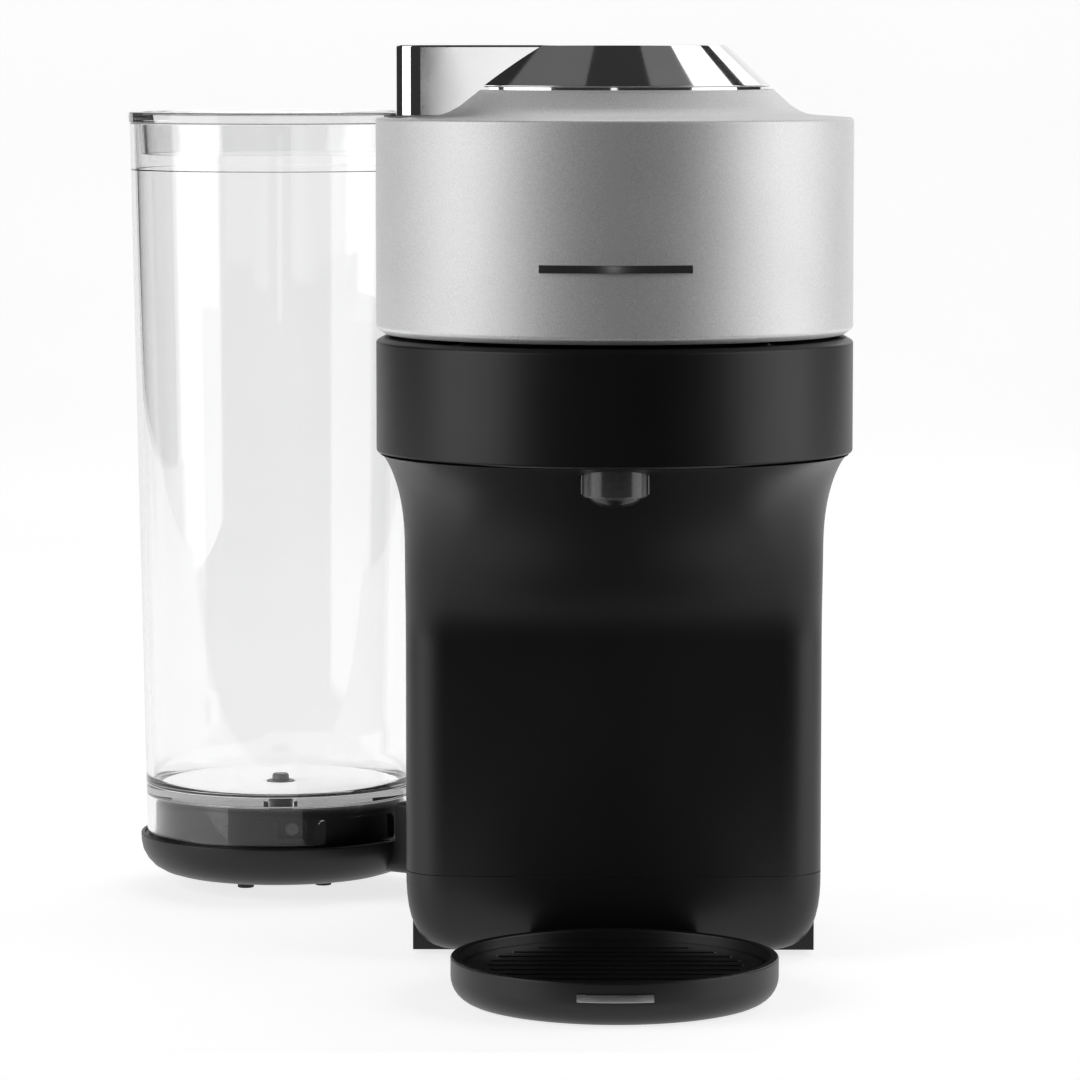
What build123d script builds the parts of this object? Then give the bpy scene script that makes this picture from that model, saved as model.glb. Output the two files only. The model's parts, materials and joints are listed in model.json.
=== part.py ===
"""Pod coffee machine: a round tilting brew head on a half-round column, with a swivelling side water tank.

Millimetres, +Z up, front towards -Y. The origin is on the table, under the axis that the pod spins on.
Heights are absolute, measured up from the table.
"""
from build123d import *
import math
import os

os.makedirs("parts", exist_ok=True)

# ---------------------------------------------------------------- driving dimensions

# brew head and band, round about the pod axis
HEAD_R = 71.0
WALL = 2.5
BAND_BOTTOM = 157.2
BAND_TOP = 191.7
HEAD_BOTTOM = 192.8
HEAD_EDGE = 256.6
COLLAR_TOP = 265.0
CROWN_BASE = 265.8
CROWN_TOP = 278.1
CROWN_BASE_R = 46.2
CROWN_TOP_R = 33.1

# lever, a chrome paddle lying in a channel of the crown
LEVER_TIP = 64.4
LEVER_HALF = 25.0
LEVER_CLEAR = 0.6
LEVER_PIVOT_X = 17.0
LEVER_PIVOT_Z = 274.0
BUTTON_R = 19.0

# column: half width, swivel axis of the half-round rear, seam above the foot
COLUMN_HALF = 63.4
SWIVEL_Y = 100.0
FRONT_Y = 12.0
CORNER_R = 14.0
SEAM_Z = 27.0
REAR_TOP = 187.0
BAY_Y = 86.3
BAY_FLOOR = 51.5

# hinge of the head
HINGE_Y = 79.0
HINGE_Z = 196.0
HINGE_PIN_R = 3.0
KNUCKLE_R = 6.3
LUG_HALF = 20.0

# brewing parts
ROTOR_PULLEY_R = 24.0
MOTOR_PULLEY_R = 12.0
MOTOR_Y = 52.0
PULLEY_Z = 150.0
SPOUT_Y = -47.0

# drip tray
TRAY_R = 48.0
TRAY_TOP = 13.2
GRID_TOP = 10.1

# swivel arm and water tank
ARM_ANGLE = 146.8
ARM_REACH = 131.5
RING_BORE = 44.4
TANK_BASE_R = 44.3
TANK_TOP_R = 48.6
TANK_WALL = 2.4
TANK_BASE = 18.5
TANK_RIM = 252.6
TANK_FLOOR = 34.0
LID_TOP = 256.2

TANK_X = ARM_REACH * math.cos(math.radians(ARM_ANGLE))
TANK_Y = SWIVEL_Y + ARM_REACH * math.sin(math.radians(ARM_ANGLE))
SWIVEL_AXIS = Axis((0, SWIVEL_Y, 0), (0, 0, 1))
TANK_AXIS = Axis((TANK_X, TANK_Y, 0), (0, 0, 1))
TANK_PROFILE = Plane((TANK_X, TANK_Y, 0), x_dir=(1, 0, 0), z_dir=(0, -1, 0))
SWIVEL_PROFILE = Plane((0, SWIVEL_Y, 0), x_dir=(1, 0, 0), z_dir=(0, -1, 0))
ARM_PLANE = Plane(
    (0, SWIVEL_Y, 0),
    x_dir=(math.cos(math.radians(ARM_ANGLE)), math.sin(math.radians(ARM_ANGLE)), 0),
    z_dir=(0, 0, 1),
)


# ---------------------------------------------------------------- helpers
def keep(builder, label):
    """Labels a finished piece and writes its STEP file."""
    builder.part.label = label
    export_step(builder.part, f"parts/{label}.step")


def column_section(half, front, front_r, corner_r, rear_r):
    """Outline of the column: bowed front, round corners, straight sides and a half-round rear."""
    reach = front_r - corner_r
    inset = half - corner_r
    front_centre = front + front_r
    corner_y = front_centre - math.sqrt(reach**2 - inset**2)
    ux, uy = inset / reach, (corner_y - front_centre) / reach
    tangent = (ux * front_r, front_centre + uy * front_r)
    mid_len = math.hypot(1 + ux, uy)
    middle = (inset + corner_r * (1 + ux) / mid_len, corner_y + corner_r * uy / mid_len)
    with BuildSketch() as outline:
        with BuildLine():
            ThreePointArc((-tangent[0], tangent[1]), (0, front), tangent)
            ThreePointArc(tangent, middle, (half, corner_y))
            Line((half, corner_y), (rear_r, SWIVEL_Y))
            ThreePointArc((rear_r, SWIVEL_Y), (0, SWIVEL_Y + rear_r), (-rear_r, SWIVEL_Y))
            Line((-rear_r, SWIVEL_Y), (-half, corner_y))
            ThreePointArc((-half, corner_y), (-middle[0], middle[1]), (-tangent[0], tangent[1]))
        make_face()
    return outline.sketch


def block(x, y, z, mode=Mode.ADD):
    """A box between the given (low, high) pairs on each axis."""
    with Locations(((x[0] + x[1]) / 2, (y[0] + y[1]) / 2, (z[0] + z[1]) / 2)):
        Box(x[1] - x[0], y[1] - y[0], z[1] - z[0], mode=mode)


def disc(centre, radius, z, mode=Mode.ADD):
    """An upright cylinder between two heights."""
    with Locations((centre[0], centre[1], z[0])):
        Cylinder(
            radius, z[1] - z[0], align=(Align.CENTER, Align.CENTER, Align.MIN), mode=mode
        )


def bar_x(y, z, radius, x, mode=Mode.ADD):
    """A cylinder lying along X between two stations."""
    with Locations(Plane((x[0], y, z), x_dir=(0, 1, 0), z_dir=(1, 0, 0))):
        Cylinder(
            radius, x[1] - x[0], align=(Align.CENTER, Align.CENTER, Align.MIN), mode=mode
        )


def turned(points, plane=Plane.XZ, axis=Axis.Z):
    """A solid turned from a closed profile of (radius, height) points."""
    with BuildSketch(plane) as profile:
        with BuildLine():
            Polyline(*points, close=True)
        make_face()
    revolve(profile.sketch, axis=axis)


# ---------------------------------------------------------------- base
SCREW_SPOTS = [(-48, 45), (48, 45), (-26, 150), (26, 150)]
with BuildPart() as base_pan:
    with BuildSketch(Plane.XY.offset(1.5)):
        with Locations((0, (31 + SWIVEL_Y) / 2)):
            Rectangle(123, SWIVEL_Y - 31)
        with Locations((0, SWIVEL_Y)):
            Circle(61.5)
    extrude(amount=8.7)
    with BuildSketch(Plane.XY.offset(4.5)):
        with Locations((0, (34 + SWIVEL_Y) / 2)):
            Rectangle(117, SWIVEL_Y - 34)
        with Locations((0, SWIVEL_Y)):
            Circle(58.5)
    extrude(amount=10, mode=Mode.SUBTRACT)
    disc((0, SWIVEL_Y), 44.0, (4.0, 24.4))
    disc((0, SWIVEL_Y), 40.0, (4.5, 25.0), Mode.SUBTRACT)
    for spot in SCREW_SPOTS:
        disc(spot, 3.2, (1.4, 3.2), Mode.SUBTRACT)
        disc(spot, 1.6, (3.0, 5.0), Mode.SUBTRACT)
keep(base_pan, "base_pan")

FOOT_SPOTS = [(-44, 60), (44, 60), (-34, 136), (34, 136)]
with BuildPart() as rubber_feet:
    for spot in FOOT_SPOTS:
        disc(spot, 8.0, (0.0, 1.5))
    chamfer(rubber_feet.edges().group_by(Axis.Z)[0], 0.4)
keep(rubber_feet, "rubber_feet")

with BuildPart() as base_screws:
    for x, y in SCREW_SPOTS:
        disc((x, y), 3.0, (1.6, 3.2))
        disc((x, y), 1.5, (3.2, 10.0))
        block((x - 2, x + 2), (y - 0.4, y + 0.4), (1.5, 2.2), Mode.SUBTRACT)
        block((x - 0.4, x + 0.4), (y - 2, y + 2), (1.5, 2.2), Mode.SUBTRACT)
keep(base_screws, "base_screws")

FOOT_SECTIONS = [(26.8, 0.0), (20.0, 0.5), (13.0, 2.3), (7.0, 5.6), (2.5, 11.5)]
with BuildPart() as lower_shell:
    for z, inset in reversed(FOOT_SECTIONS):
        with BuildSketch(Plane.XY.offset(z)):
            half = COLUMN_HALF - inset
            add(column_section(half, FRONT_Y + inset, 600, CORNER_R - inset / 2, half))
    loft()
    for z, inset in reversed(FOOT_SECTIONS):
        with BuildSketch(Plane.XY.offset(z + WALL)):
            half = COLUMN_HALF - inset - WALL
            add(column_section(half, FRONT_Y + inset + WALL, 600, CORNER_R - inset / 2 - WALL, half))
    loft(mode=Mode.SUBTRACT)
    block((-70, 70), (30.6, 200), (0, 10.8), Mode.SUBTRACT)
    block((-26.2, 26.2), (0, 40), (0, 9.6), Mode.SUBTRACT)
    disc((0, SWIVEL_Y), COLUMN_HALF + 0.6, (0, 30), Mode.SUBTRACT)
keep(lower_shell, "lower_shell")

with BuildPart() as swivel_cap:
    disc((0, SWIVEL_Y), COLUMN_HALF - 0.2, (24.6, 26.9))
    disc((0, SWIVEL_Y), 20.0, (24.0, 27.0), Mode.SUBTRACT)
    fillet(swivel_cap.edges().filter_by(GeomType.CIRCLE).group_by(SortBy.RADIUS)[-1], 0.5)
keep(swivel_cap, "swivel_cap")

# ---------------------------------------------------------------- column
# height, half width, front, front bow radius, corner radius: from the foot of the cove up to the band
COVE_SECTIONS = [
    (118.0, COLUMN_HALF, FRONT_Y, 600, CORNER_R),
    (126.0, COLUMN_HALF, 5.0, 300, 17.0),
    (134.0, COLUMN_HALF + 0.2, -7.0, 180, 24.0),
    (143.0, 64.8, -25.0, 120, 34.0),
    (152.0, 68.2, -47.5, 85, 45.0),
    (BAND_BOTTOM, 69.6, -69.6, 78, 62.0),
]
CHUTE_HALF = 33.5
with BuildPart() as column_shell:
    with BuildSketch(Plane.XY.offset(SEAM_Z)):
        add(column_section(COLUMN_HALF, FRONT_Y, 600, CORNER_R, COLUMN_HALF))
    extrude(amount=COVE_SECTIONS[0][0] - SEAM_Z)
    for z, half, front, bow, corner in COVE_SECTIONS:
        with BuildSketch(Plane.XY.offset(z)):
            add(column_section(half, front, bow, corner, COLUMN_HALF))
    loft()
    split(bisect_by=Plane.YZ, keep=Keep.TOP)
    block((-80, 80), (-80, 180), (BAND_BOTTOM, BAND_BOTTOM + 5), Mode.SUBTRACT)
    mirror(about=Plane.YZ)
    # inside of the front: a straight shaft and the hollow behind the cove
    with BuildSketch(Plane.XY.offset(SEAM_Z - 1)):
        inner = COLUMN_HALF - WALL
        add(column_section(inner, FRONT_Y + WALL, 600, CORNER_R - WALL, inner))
    extrude(amount=121.2 - SEAM_Z, mode=Mode.SUBTRACT)
    for z, half, front, bow, corner in COVE_SECTIONS:
        with BuildSketch(Plane.XY.offset(z + 2.2)):
            inner = half - WALL
            add(column_section(inner, front + 3, bow - WALL, corner - WALL, COLUMN_HALF - WALL))
    loft(mode=Mode.SUBTRACT)
    # the rear of the column rises past the band
    with BuildSketch(Plane.XY.offset(BAND_BOTTOM)):
        with Locations((0, (SWIVEL_Y + 10) / 2)):
            Rectangle(2 * COLUMN_HALF, SWIVEL_Y - 10)
        Circle(HEAD_R + 0.3, mode=Mode.SUBTRACT)
    extrude(amount=REAR_TOP - BAND_BOTTOM)
    with BuildSketch(Plane.XY.offset(BAND_BOTTOM - 1)):
        with Locations((0, 62)):
            Rectangle(2 * (COLUMN_HALF - WALL), 44)
        Circle(HEAD_R + 0.3 + WALL, mode=Mode.SUBTRACT)
    extrude(amount=REAR_TOP - WALL - BAND_BOTTOM + 1, mode=Mode.SUBTRACT)
    # bay for the pod bin, with a floor and a front wall
    block((-70, 70), (BAY_Y, 180), (BAY_FLOOR, 200), Mode.SUBTRACT)
    with BuildSketch(Plane.XY.offset(BAY_FLOOR - WALL)):
        with Locations((0, SWIVEL_Y)):
            Circle(COLUMN_HALF)
        with Locations((0, (BAY_Y + SWIVEL_Y) / 2 - 2)):
            Rectangle(2 * COLUMN_HALF, SWIVEL_Y - BAY_Y + 4)
        with Locations((0, 40)):
            Rectangle(200, 2 * (BAY_Y - 40) - 5, mode=Mode.SUBTRACT)
    extrude(amount=WALL)
    block((-COLUMN_HALF, COLUMN_HALF), (BAY_Y - WALL, BAY_Y), (BAY_FLOOR - WALL, REAR_TOP))
    # way of the spent pods, hole of the spout and of the cord gland
    block((-CHUTE_HALF, CHUTE_HALF), (60, 95), (158, 184), Mode.SUBTRACT)
    disc((0, SPOUT_Y), 10.4, (140, 165), Mode.SUBTRACT)
    with Locations(Plane((0, SWIVEL_Y + COLUMN_HALF - 6, 40), z_dir=(0, 1, 0))):
        Cylinder(5.2, 20, mode=Mode.SUBTRACT)
keep(column_shell, "column_shell")

with BuildPart() as cord_gland:
    gland = Plane((0, SWIVEL_Y + COLUMN_HALF - 4.5, 40), z_dir=(0, 1, 0))
    with Locations(gland):
        Cylinder(5.0, 5.2, align=(Align.CENTER, Align.CENTER, Align.MIN))
    with Locations(gland.offset(5.0)):
        Cone(6.8, 5.0, 6, align=(Align.CENTER, Align.CENTER, Align.MIN))
    with Locations(gland):
        Cylinder(3.1, 30, mode=Mode.SUBTRACT)
keep(cord_gland, "cord_gland")

# ---------------------------------------------------------------- band round the brew chamber
with BuildPart() as brew_band:
    turned(
        [
            (69.0, BAND_TOP),
            (HEAD_R, BAND_TOP - 1.2),
            (HEAD_R, BAND_BOTTOM + 1.0),
            (HEAD_R - 0.9, BAND_BOTTOM + 0.1),
            (HEAD_R - 2.6, BAND_BOTTOM + 0.1),
            (HEAD_R - 2.6, 184.5),
            (38.4, 184.5),
            (38.4, 190.0),
            (46.0, 190.0),
            (48.0, 187.0),
            (62.0, 187.0),
            (66.5, 190.4),
            (67.2, BAND_TOP),
        ]
    )
    block((-CHUTE_HALF, CHUTE_HALF), (28, 68.6), (180, 190.5), Mode.SUBTRACT)
    block((-CHUTE_HALF, CHUTE_HALF), (50, 75), (158, 184), Mode.SUBTRACT)
keep(brew_band, "brew_band")

with BuildPart() as pod_chute:
    with BuildSketch(Plane.YZ.offset(-CHUTE_HALF + 0.6)):
        with BuildLine():
            Polyline((38.6, 181.5), (86.0, 164.0), (86.0, 161.8), (38.6, 179.3), close=True)
        make_face()
    extrude(amount=2 * CHUTE_HALF - 1.2)
    for side in (-CHUTE_HALF + 0.6, CHUTE_HALF - 2.2):
        with BuildSketch(Plane.YZ.offset(side)):
            with BuildLine():
                Polyline((40, 180), (86, 163), (86, 176), (68, 183.6), (40, 183.6), close=True)
            make_face()
        extrude(amount=1.6)
    disc((0, 0), 38.8, (150, 190), Mode.SUBTRACT)
keep(pod_chute, "pod_chute")

with BuildPart() as coffee_collector:
    turned(
        [(12.2, 157.6), (38.2, 157.6), (38.2, 184.2), (36.0, 184.2), (36.0, 160.0), (12.2, 160.0)]
    )
    block((-7, 7), (-58, -37), (157.6, 164))
    block((-4.5, 4.5), (-55.5, -30), (160.0, 165), Mode.SUBTRACT)
    disc((0, SPOUT_Y), 3.4, (150, 162), Mode.SUBTRACT)
keep(coffee_collector, "coffee_collector")

with BuildPart() as coffee_spout:
    disc((0, SPOUT_Y), 9.5, (147.5, 157.4))
    fillet(coffee_spout.faces().sort_by(Axis.Z)[0].edges(), 0.8)
    with Locations((0, SPOUT_Y, 152.9)):
        Box(19.9, 5, 8.9)
    disc((0, SPOUT_Y), 6.6, (147.0, 151.6), Mode.SUBTRACT)
    disc((0, SPOUT_Y), 3.4, (147.0, 158), Mode.SUBTRACT)
keep(coffee_spout, "coffee_spout")

with BuildPart() as spout_nozzle:
    with BuildSketch(Plane((0, SPOUT_Y, 0), x_dir=(1, 0, 0), z_dir=(0, -1, 0))):
        with BuildLine():
            Line((3.0, 151.5), (6.5, 151.5))
            Line((6.5, 151.5), (6.5, 147.3))
            Line((6.5, 147.3), (8.5, 147.3))
            ThreePointArc((8.5, 147.3), (6.6, 145.6), (3.0, 144.6))
            Line((3.0, 144.6), (3.0, 151.5))
        make_face()
    revolve(axis=Axis((0, SPOUT_Y, 0), (0, 0, 1)))
keep(spout_nozzle, "spout_nozzle")

# ---------------------------------------------------------------- spinning parts and their drive
with BuildPart() as pod_holder:
    turned(
        [
            (0, 160.5),
            (27.0, 160.5),
            (31.5, 165.0),
            (32.5, 184.6),
            (35.4, 184.6),
            (35.4, 187.6),
            (30.4, 187.6),
            (29.4, 166.5),
            (25.8, 163.0),
            (0, 163.0),
        ]
    )
    disc((0, 0), 6.95, (148.0, 160.5))
keep(pod_holder, "pod_holder")

with BuildPart() as rotor_pulley:
    disc((0, 0), ROTOR_PULLEY_R, (PULLEY_Z, PULLEY_Z + 7))
    disc((0, 0), 7.0, (PULLEY_Z - 1, PULLEY_Z + 8), Mode.SUBTRACT)
    with PolarLocations(15.5, 6):
        Hole(4.0)
keep(rotor_pulley, "rotor_pulley")

with BuildPart() as rotor_bearing:
    disc((0, 0), 12.0, (157.7, 160.0))
    disc((0, 0), 7.0, (157, 161), Mode.SUBTRACT)
keep(rotor_bearing, "rotor_bearing")

with BuildPart() as drive_motor:
    disc((0, MOTOR_Y), 20.0, (94.0, 146.0))
    fillet(drive_motor.edges().filter_by(GeomType.CIRCLE), 2.0)
    disc((0, MOTOR_Y), 6.0, (146.0, 148.0))
    disc((0, MOTOR_Y), 2.65, (130.0, 149.0), Mode.SUBTRACT)
    block((-6, 6), (MOTOR_Y + 18, MOTOR_Y + 23), (98, 106))
keep(drive_motor, "drive_motor")

with BuildPart() as motor_pulley:
    disc((0, MOTOR_Y), MOTOR_PULLEY_R, (PULLEY_Z, PULLEY_Z + 7))
    disc((0, MOTOR_Y), 2.6, (132.0, PULLEY_Z))
keep(motor_pulley, "motor_pulley")

BELT_GAP = 0.15
BELT_THICK = 1.5
with BuildPart() as drive_belt:
    with BuildSketch(Plane.XY.offset(PULLEY_Z + 1)):
        Circle(ROTOR_PULLEY_R + BELT_GAP + BELT_THICK)
        with Locations((0, MOTOR_Y)):
            Circle(MOTOR_PULLEY_R + BELT_GAP + BELT_THICK)
        make_hull()
    extrude(amount=5)
    with BuildSketch(Plane.XY.offset(PULLEY_Z)):
        Circle(ROTOR_PULLEY_R + BELT_GAP)
        with Locations((0, MOTOR_Y)):
            Circle(MOTOR_PULLEY_R + BELT_GAP)
        make_hull()
    extrude(amount=8, mode=Mode.SUBTRACT)
keep(drive_belt, "drive_belt")

# ---------------------------------------------------------------- water circuit and electrics
with BuildPart() as water_heater:
    block((-46, 46), (20, 40), (36, 84))
    fillet(water_heater.edges().filter_by(Axis.Y), 6)
    for z in (44, 52, 60, 68, 76):
        block((-42, 42), (17.5, 20), (z - 1.2, z + 1.2))
    for x in (-30, 30):
        with Locations((x, 32, 84)):
            Cylinder(3.5, 8, align=(Align.CENTER, Align.CENTER, Align.MIN))
keep(water_heater, "water_heater")

PUMP_Y, PUMP_Z = 58.5, 56.0
with BuildPart() as water_pump:
    bar_x(PUMP_Y, PUMP_Z, 15.0, (-42, 18))
    bar_x(PUMP_Y, PUMP_Z, 9.0, (18, 34))
    bar_x(PUMP_Y, PUMP_Z, 3.2, (34, 44))
    bar_x(PUMP_Y, PUMP_Z, 3.2, (-50, -42))
    block((-36, 12), (PUMP_Y - 17, PUMP_Y + 17), (PUMP_Z - 12, PUMP_Z + 12))
keep(water_pump, "water_pump")

with BuildPart() as pump_mounts:
    for x in (-46.5, 24.0):
        radius = 3.3 if x < 0 else 9.1
        block((x - 3, x + 3), (PUMP_Y - 13, PUMP_Y + 13), (34, PUMP_Z + 12))
        bar_x(PUMP_Y, PUMP_Z, radius, (x - 4, x + 4), Mode.SUBTRACT)
keep(pump_mounts, "pump_mounts")

with BuildPart() as chassis:
    block((-54, 54), (18, 82), (30.0, 33.8))
    block((-56.5, -54), (32, 82), (30.0, 120))
    block((-26, 26), (32, 81), (91.3, 93.8))
    for x in (-26, 22.5):
        block((x, x + 3.5), (76.5, 81), (33.8, 91.3))
keep(chassis, "chassis")

with BuildPart() as control_board:
    block((54.0, 55.6), (22, 78), (38, 128))
    block((44.0, 54.0), (30, 46), (96, 118))
    block((47.0, 54.0), (52, 70), (100, 122))
    for z in (46, 62, 78):
        block((50.5, 54.0), (26, 40), (z, z + 9))
keep(control_board, "control_board")

with BuildPart() as flow_meter:
    disc((40, 66), 9.5, (34.0, 41.0))
    disc((40, 66), 2.6, (41.0, 47.0))
keep(flow_meter, "flow_meter")

HOSE_R = 2.4
with BuildPart() as inlet_hose:
    with BuildLine() as inlet_path:
        FilletPolyline((0, 96, 22.0), (0, 96, 40.0), (0, 84.5, 40.0), radius=6)
    with BuildSketch(Plane(inlet_path.line @ 0, z_dir=inlet_path.line % 0)):
        Circle(HOSE_R)
    sweep(path=inlet_path.line)
keep(inlet_hose, "inlet_hose")

with BuildPart() as brew_hose:
    with BuildLine() as brew_path:
        FilletPolyline((-30, 32, 92.2), (-30, 32, 128), (-30, 66, 128), (-30, 66, 150), radius=12)
    with BuildSketch(Plane(brew_path.line @ 0, z_dir=brew_path.line % 0)):
        Circle(HOSE_R)
    sweep(path=brew_path.line)
keep(brew_hose, "brew_hose")

with BuildPart() as code_reader:
    block((44, 54), (-8, 8), (174, 184))
    block((41.5, 44), (-4, 4), (177, 182))
keep(code_reader, "code_reader")

# ---------------------------------------------------------------- head that tilts back
CHANNEL_HALF = LEVER_HALF + LEVER_CLEAR
with BuildPart() as head_shell:
    with BuildSketch(Plane.XZ):
        with BuildLine():
            Polyline(
                (68.6, HEAD_BOTTOM),
                (HEAD_R, HEAD_BOTTOM + 1.8),
                (HEAD_R, HEAD_EDGE - 0.9),
            )
            ThreePointArc(
                (HEAD_R, HEAD_EDGE - 0.9), (HEAD_R - 0.25, HEAD_EDGE - 0.25), (HEAD_R - 0.9, HEAD_EDGE)
            )
            Line((HEAD_R - 0.9, HEAD_EDGE), (59.5, 257.4))
            ThreePointArc((59.5, 257.4), (55.7, 258.5), (52.4, 260.9))
            Polyline(
                (52.4, 260.9),
                (47.6, COLLAR_TOP),
                (45.2, COLLAR_TOP),
                (45.2, 262.2),
                (50.4, 257.6),
                (58.4, 254.6),
                (68.4, 253.9),
                (68.4, HEAD_BOTTOM + 2.4),
                (67.2, HEAD_BOTTOM),
                (68.6, HEAD_BOTTOM),
            )
        make_face()
    revolve(axis=Axis.Z)
    # channel of the lever: it stops short of the outer wall
    with BuildSketch(Plane.XY.offset(250)):
        Circle(68.2)
        with Locations((-40, 0)):
            Rectangle(80, 2 * CHANNEL_HALF, mode=Mode.INTERSECT)
    extrude(amount=30, mode=Mode.SUBTRACT)
    # notch for the hinge bracket
    block((-LUG_HALF - 0.5, LUG_HALF + 0.5), (60, 80), (190, HINGE_Z + 7), Mode.SUBTRACT)
keep(head_shell, "head_shell")

with BuildPart() as head_liner:
    turned(
        [
            (36.0, 193.4),
            (66.9, 193.4),
            (67.9, 195.9),
            (38.5, 195.9),
            (38.5, 206.0),
            (20.0, 206.0),
            (20.0, 220.0),
            (14.1, 220.0),
            (14.1, 203.5),
            (36.0, 203.5),
        ]
    )
keep(head_liner, "head_liner")

with BuildPart() as brew_seal:
    disc((0, 0), 44.0, (190.3, 193.3))
    disc((0, 0), 40.5, (190.0, 194.0), Mode.SUBTRACT)
    fillet(brew_seal.edges().group_by(Axis.Z)[0], 0.5)
keep(brew_seal, "brew_seal")

with BuildPart() as hinge_bracket:
    block((-LUG_HALF, LUG_HALF), (52, HINGE_Y), (196.1, HINGE_Z + KNUCKLE_R - 0.2))
    bar_x(HINGE_Y, HINGE_Z, KNUCKLE_R, (-LUG_HALF, LUG_HALF))
    bar_x(HINGE_Y, HINGE_Z, HINGE_PIN_R + 0.02, (-LUG_HALF - 1, LUG_HALF + 1), Mode.SUBTRACT)
keep(hinge_bracket, "hinge_bracket")

KNUCKLES = [(-58.0, -LUG_HALF - 0.6), (LUG_HALF + 0.6, 58.0)]
with BuildPart() as hinge_knuckles:
    for low, high in KNUCKLES:
        bar_x(HINGE_Y, HINGE_Z, KNUCKLE_R, (low, high))
        block((low, high), (HINGE_Y - 5.5, HINGE_Y + 5.5), (REAR_TOP, HINGE_Z))
    bar_x(HINGE_Y, HINGE_Z, HINGE_PIN_R + 0.05, (-35, 35), Mode.SUBTRACT)
    bar_x(HINGE_Y, HINGE_Z, 5.2, (34.4, 56.5), Mode.SUBTRACT)
keep(hinge_knuckles, "hinge_knuckles")

with BuildPart() as hinge_pin:
    bar_x(HINGE_Y, HINGE_Z, HINGE_PIN_R, (-34, 34))
    chamfer(hinge_pin.edges().filter_by(GeomType.CIRCLE), 0.5)
keep(hinge_pin, "hinge_pin")

with BuildPart() as opening_gearmotor:
    bar_x(HINGE_Y, HINGE_Z, 5.0, (35.5, 56.2))
    chamfer(opening_gearmotor.edges().filter_by(GeomType.CIRCLE), 0.4)
    bar_x(HINGE_Y, HINGE_Z, 1.5, (34.3, 35.5))
keep(opening_gearmotor, "opening_gearmotor")

with BuildPart() as head_frame:
    disc((0, 0), 67.6, (250.6, 253.2))
    disc((0, 0), 20.7, (253.2, 269.8))
    disc((0, 0), 17.0, (253.2, 271.0), Mode.SUBTRACT)
    with PolarLocations(32, 3, start_angle=30):
        with Locations((0, 0, 220.2)):
            Cylinder(3.0, 30.5, align=(Align.CENTER, Align.CENTER, Align.MIN))
keep(head_frame, "head_frame")

with BuildPart() as clamp_bearing:
    disc((0, 0), 14.0, (207.0, 215.0))
    disc((0, 0), 8.05, (206, 216), Mode.SUBTRACT)
keep(clamp_bearing, "clamp_bearing")

with BuildPart() as pod_clamp:
    turned(
        [
            (3.1, 197.0),
            (24.0, 197.0),
            (28.0, 193.6),
            (34.6, 193.6),
            (34.6, 196.0),
            (28.6, 200.0),
            (8.0, 202.4),
            (8.0, 217.0),
            (3.1, 217.0),
        ]
    )
keep(pod_clamp, "pod_clamp")

with BuildPart() as injection_needle:
    disc((0, 0), 3.0, (196.0, 219.0))
    with Locations((0, 0, 190.5)):
        Cone(0.6, 3.0, 5.5, align=(Align.CENTER, Align.CENTER, Align.MIN))
keep(injection_needle, "injection_needle")

with BuildPart() as crown:
    turned(
        [
            (CROWN_BASE_R, CROWN_BASE),
            (CROWN_TOP_R, CROWN_TOP),
            (CHANNEL_HALF, CROWN_TOP),
            (CHANNEL_HALF, 268.0),
            (27.6, 268.0),
            (27.6, CROWN_TOP - 1.8),
            (32.4, CROWN_TOP - 1.8),
            (42.8, CROWN_BASE + 0.8),
            (42.8, 256.0),
            (44.8, 256.0),
            (44.8, CROWN_BASE),
        ]
    )
    block((-60, 0), (-CHANNEL_HALF, CHANNEL_HALF), (250, 290), Mode.SUBTRACT)
    block((-60, 0), (-27.6, 27.6), (250, CROWN_BASE - 0.4), Mode.SUBTRACT)
    with Locations(Plane((LEVER_PIVOT_X, 0, LEVER_PIVOT_Z), z_dir=(0, 1, 0))):
        Cylinder(1.22, 43, mode=Mode.SUBTRACT)
keep(crown, "crown")

with BuildPart() as lever:
    with BuildSketch(Plane.XY.offset(257.6)):
        with Locations((-LEVER_TIP / 2, 0)):
            Rectangle(LEVER_TIP, 2 * LEVER_HALF)
        Circle(LEVER_HALF)
    extrude(amount=CROWN_TOP - 257.6)
    fillet(lever.edges().filter_by(Axis.Z).group_by(Axis.X)[0], 7.5)
    fillet(lever.faces().sort_by(Axis.Z)[-1].edges(), 0.8)
    with BuildSketch(Plane.XY.offset(257.0)):
        with Locations((-(LEVER_TIP - 1.8) / 2, 0)):
            RectangleRounded(LEVER_TIP - 1.8, 2 * LEVER_HALF - 3.6, 5.7)
        with Locations((-9, 0)):
            Rectangle(18, 2 * LEVER_HALF - 3.6)
        Circle(LEVER_HALF - 1.8)
        Circle(BUTTON_R + 3.8, mode=Mode.SUBTRACT)
    extrude(amount=CROWN_TOP - 1.8 - 257.0, mode=Mode.SUBTRACT)
    disc((0, 0), BUTTON_R + 2.2, (250, 290), Mode.SUBTRACT)
    disc((0, 0), LEVER_HALF + 1.5, (250, 268.0), Mode.SUBTRACT)
    with Locations(Plane((LEVER_PIVOT_X, 0, LEVER_PIVOT_Z), z_dir=(0, 1, 0))):
        Cylinder(1.26, 60, mode=Mode.SUBTRACT)
keep(lever, "lever")

with BuildPart() as lever_pins:
    for low in (-20.9, 13.4):
        with Locations(Plane((LEVER_PIVOT_X, low, LEVER_PIVOT_Z), z_dir=(0, 1, 0))):
            Cylinder(1.2, 7.5, align=(Align.CENTER, Align.CENTER, Align.MIN))
keep(lever_pins, "lever_pins")

with BuildPart() as light_ring:
    disc((0, 0), 20.7, (270.0, 277.7))
    disc((0, 0), 19.4, (269.0, 278.0), Mode.SUBTRACT)
keep(light_ring, "light_ring")

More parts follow.
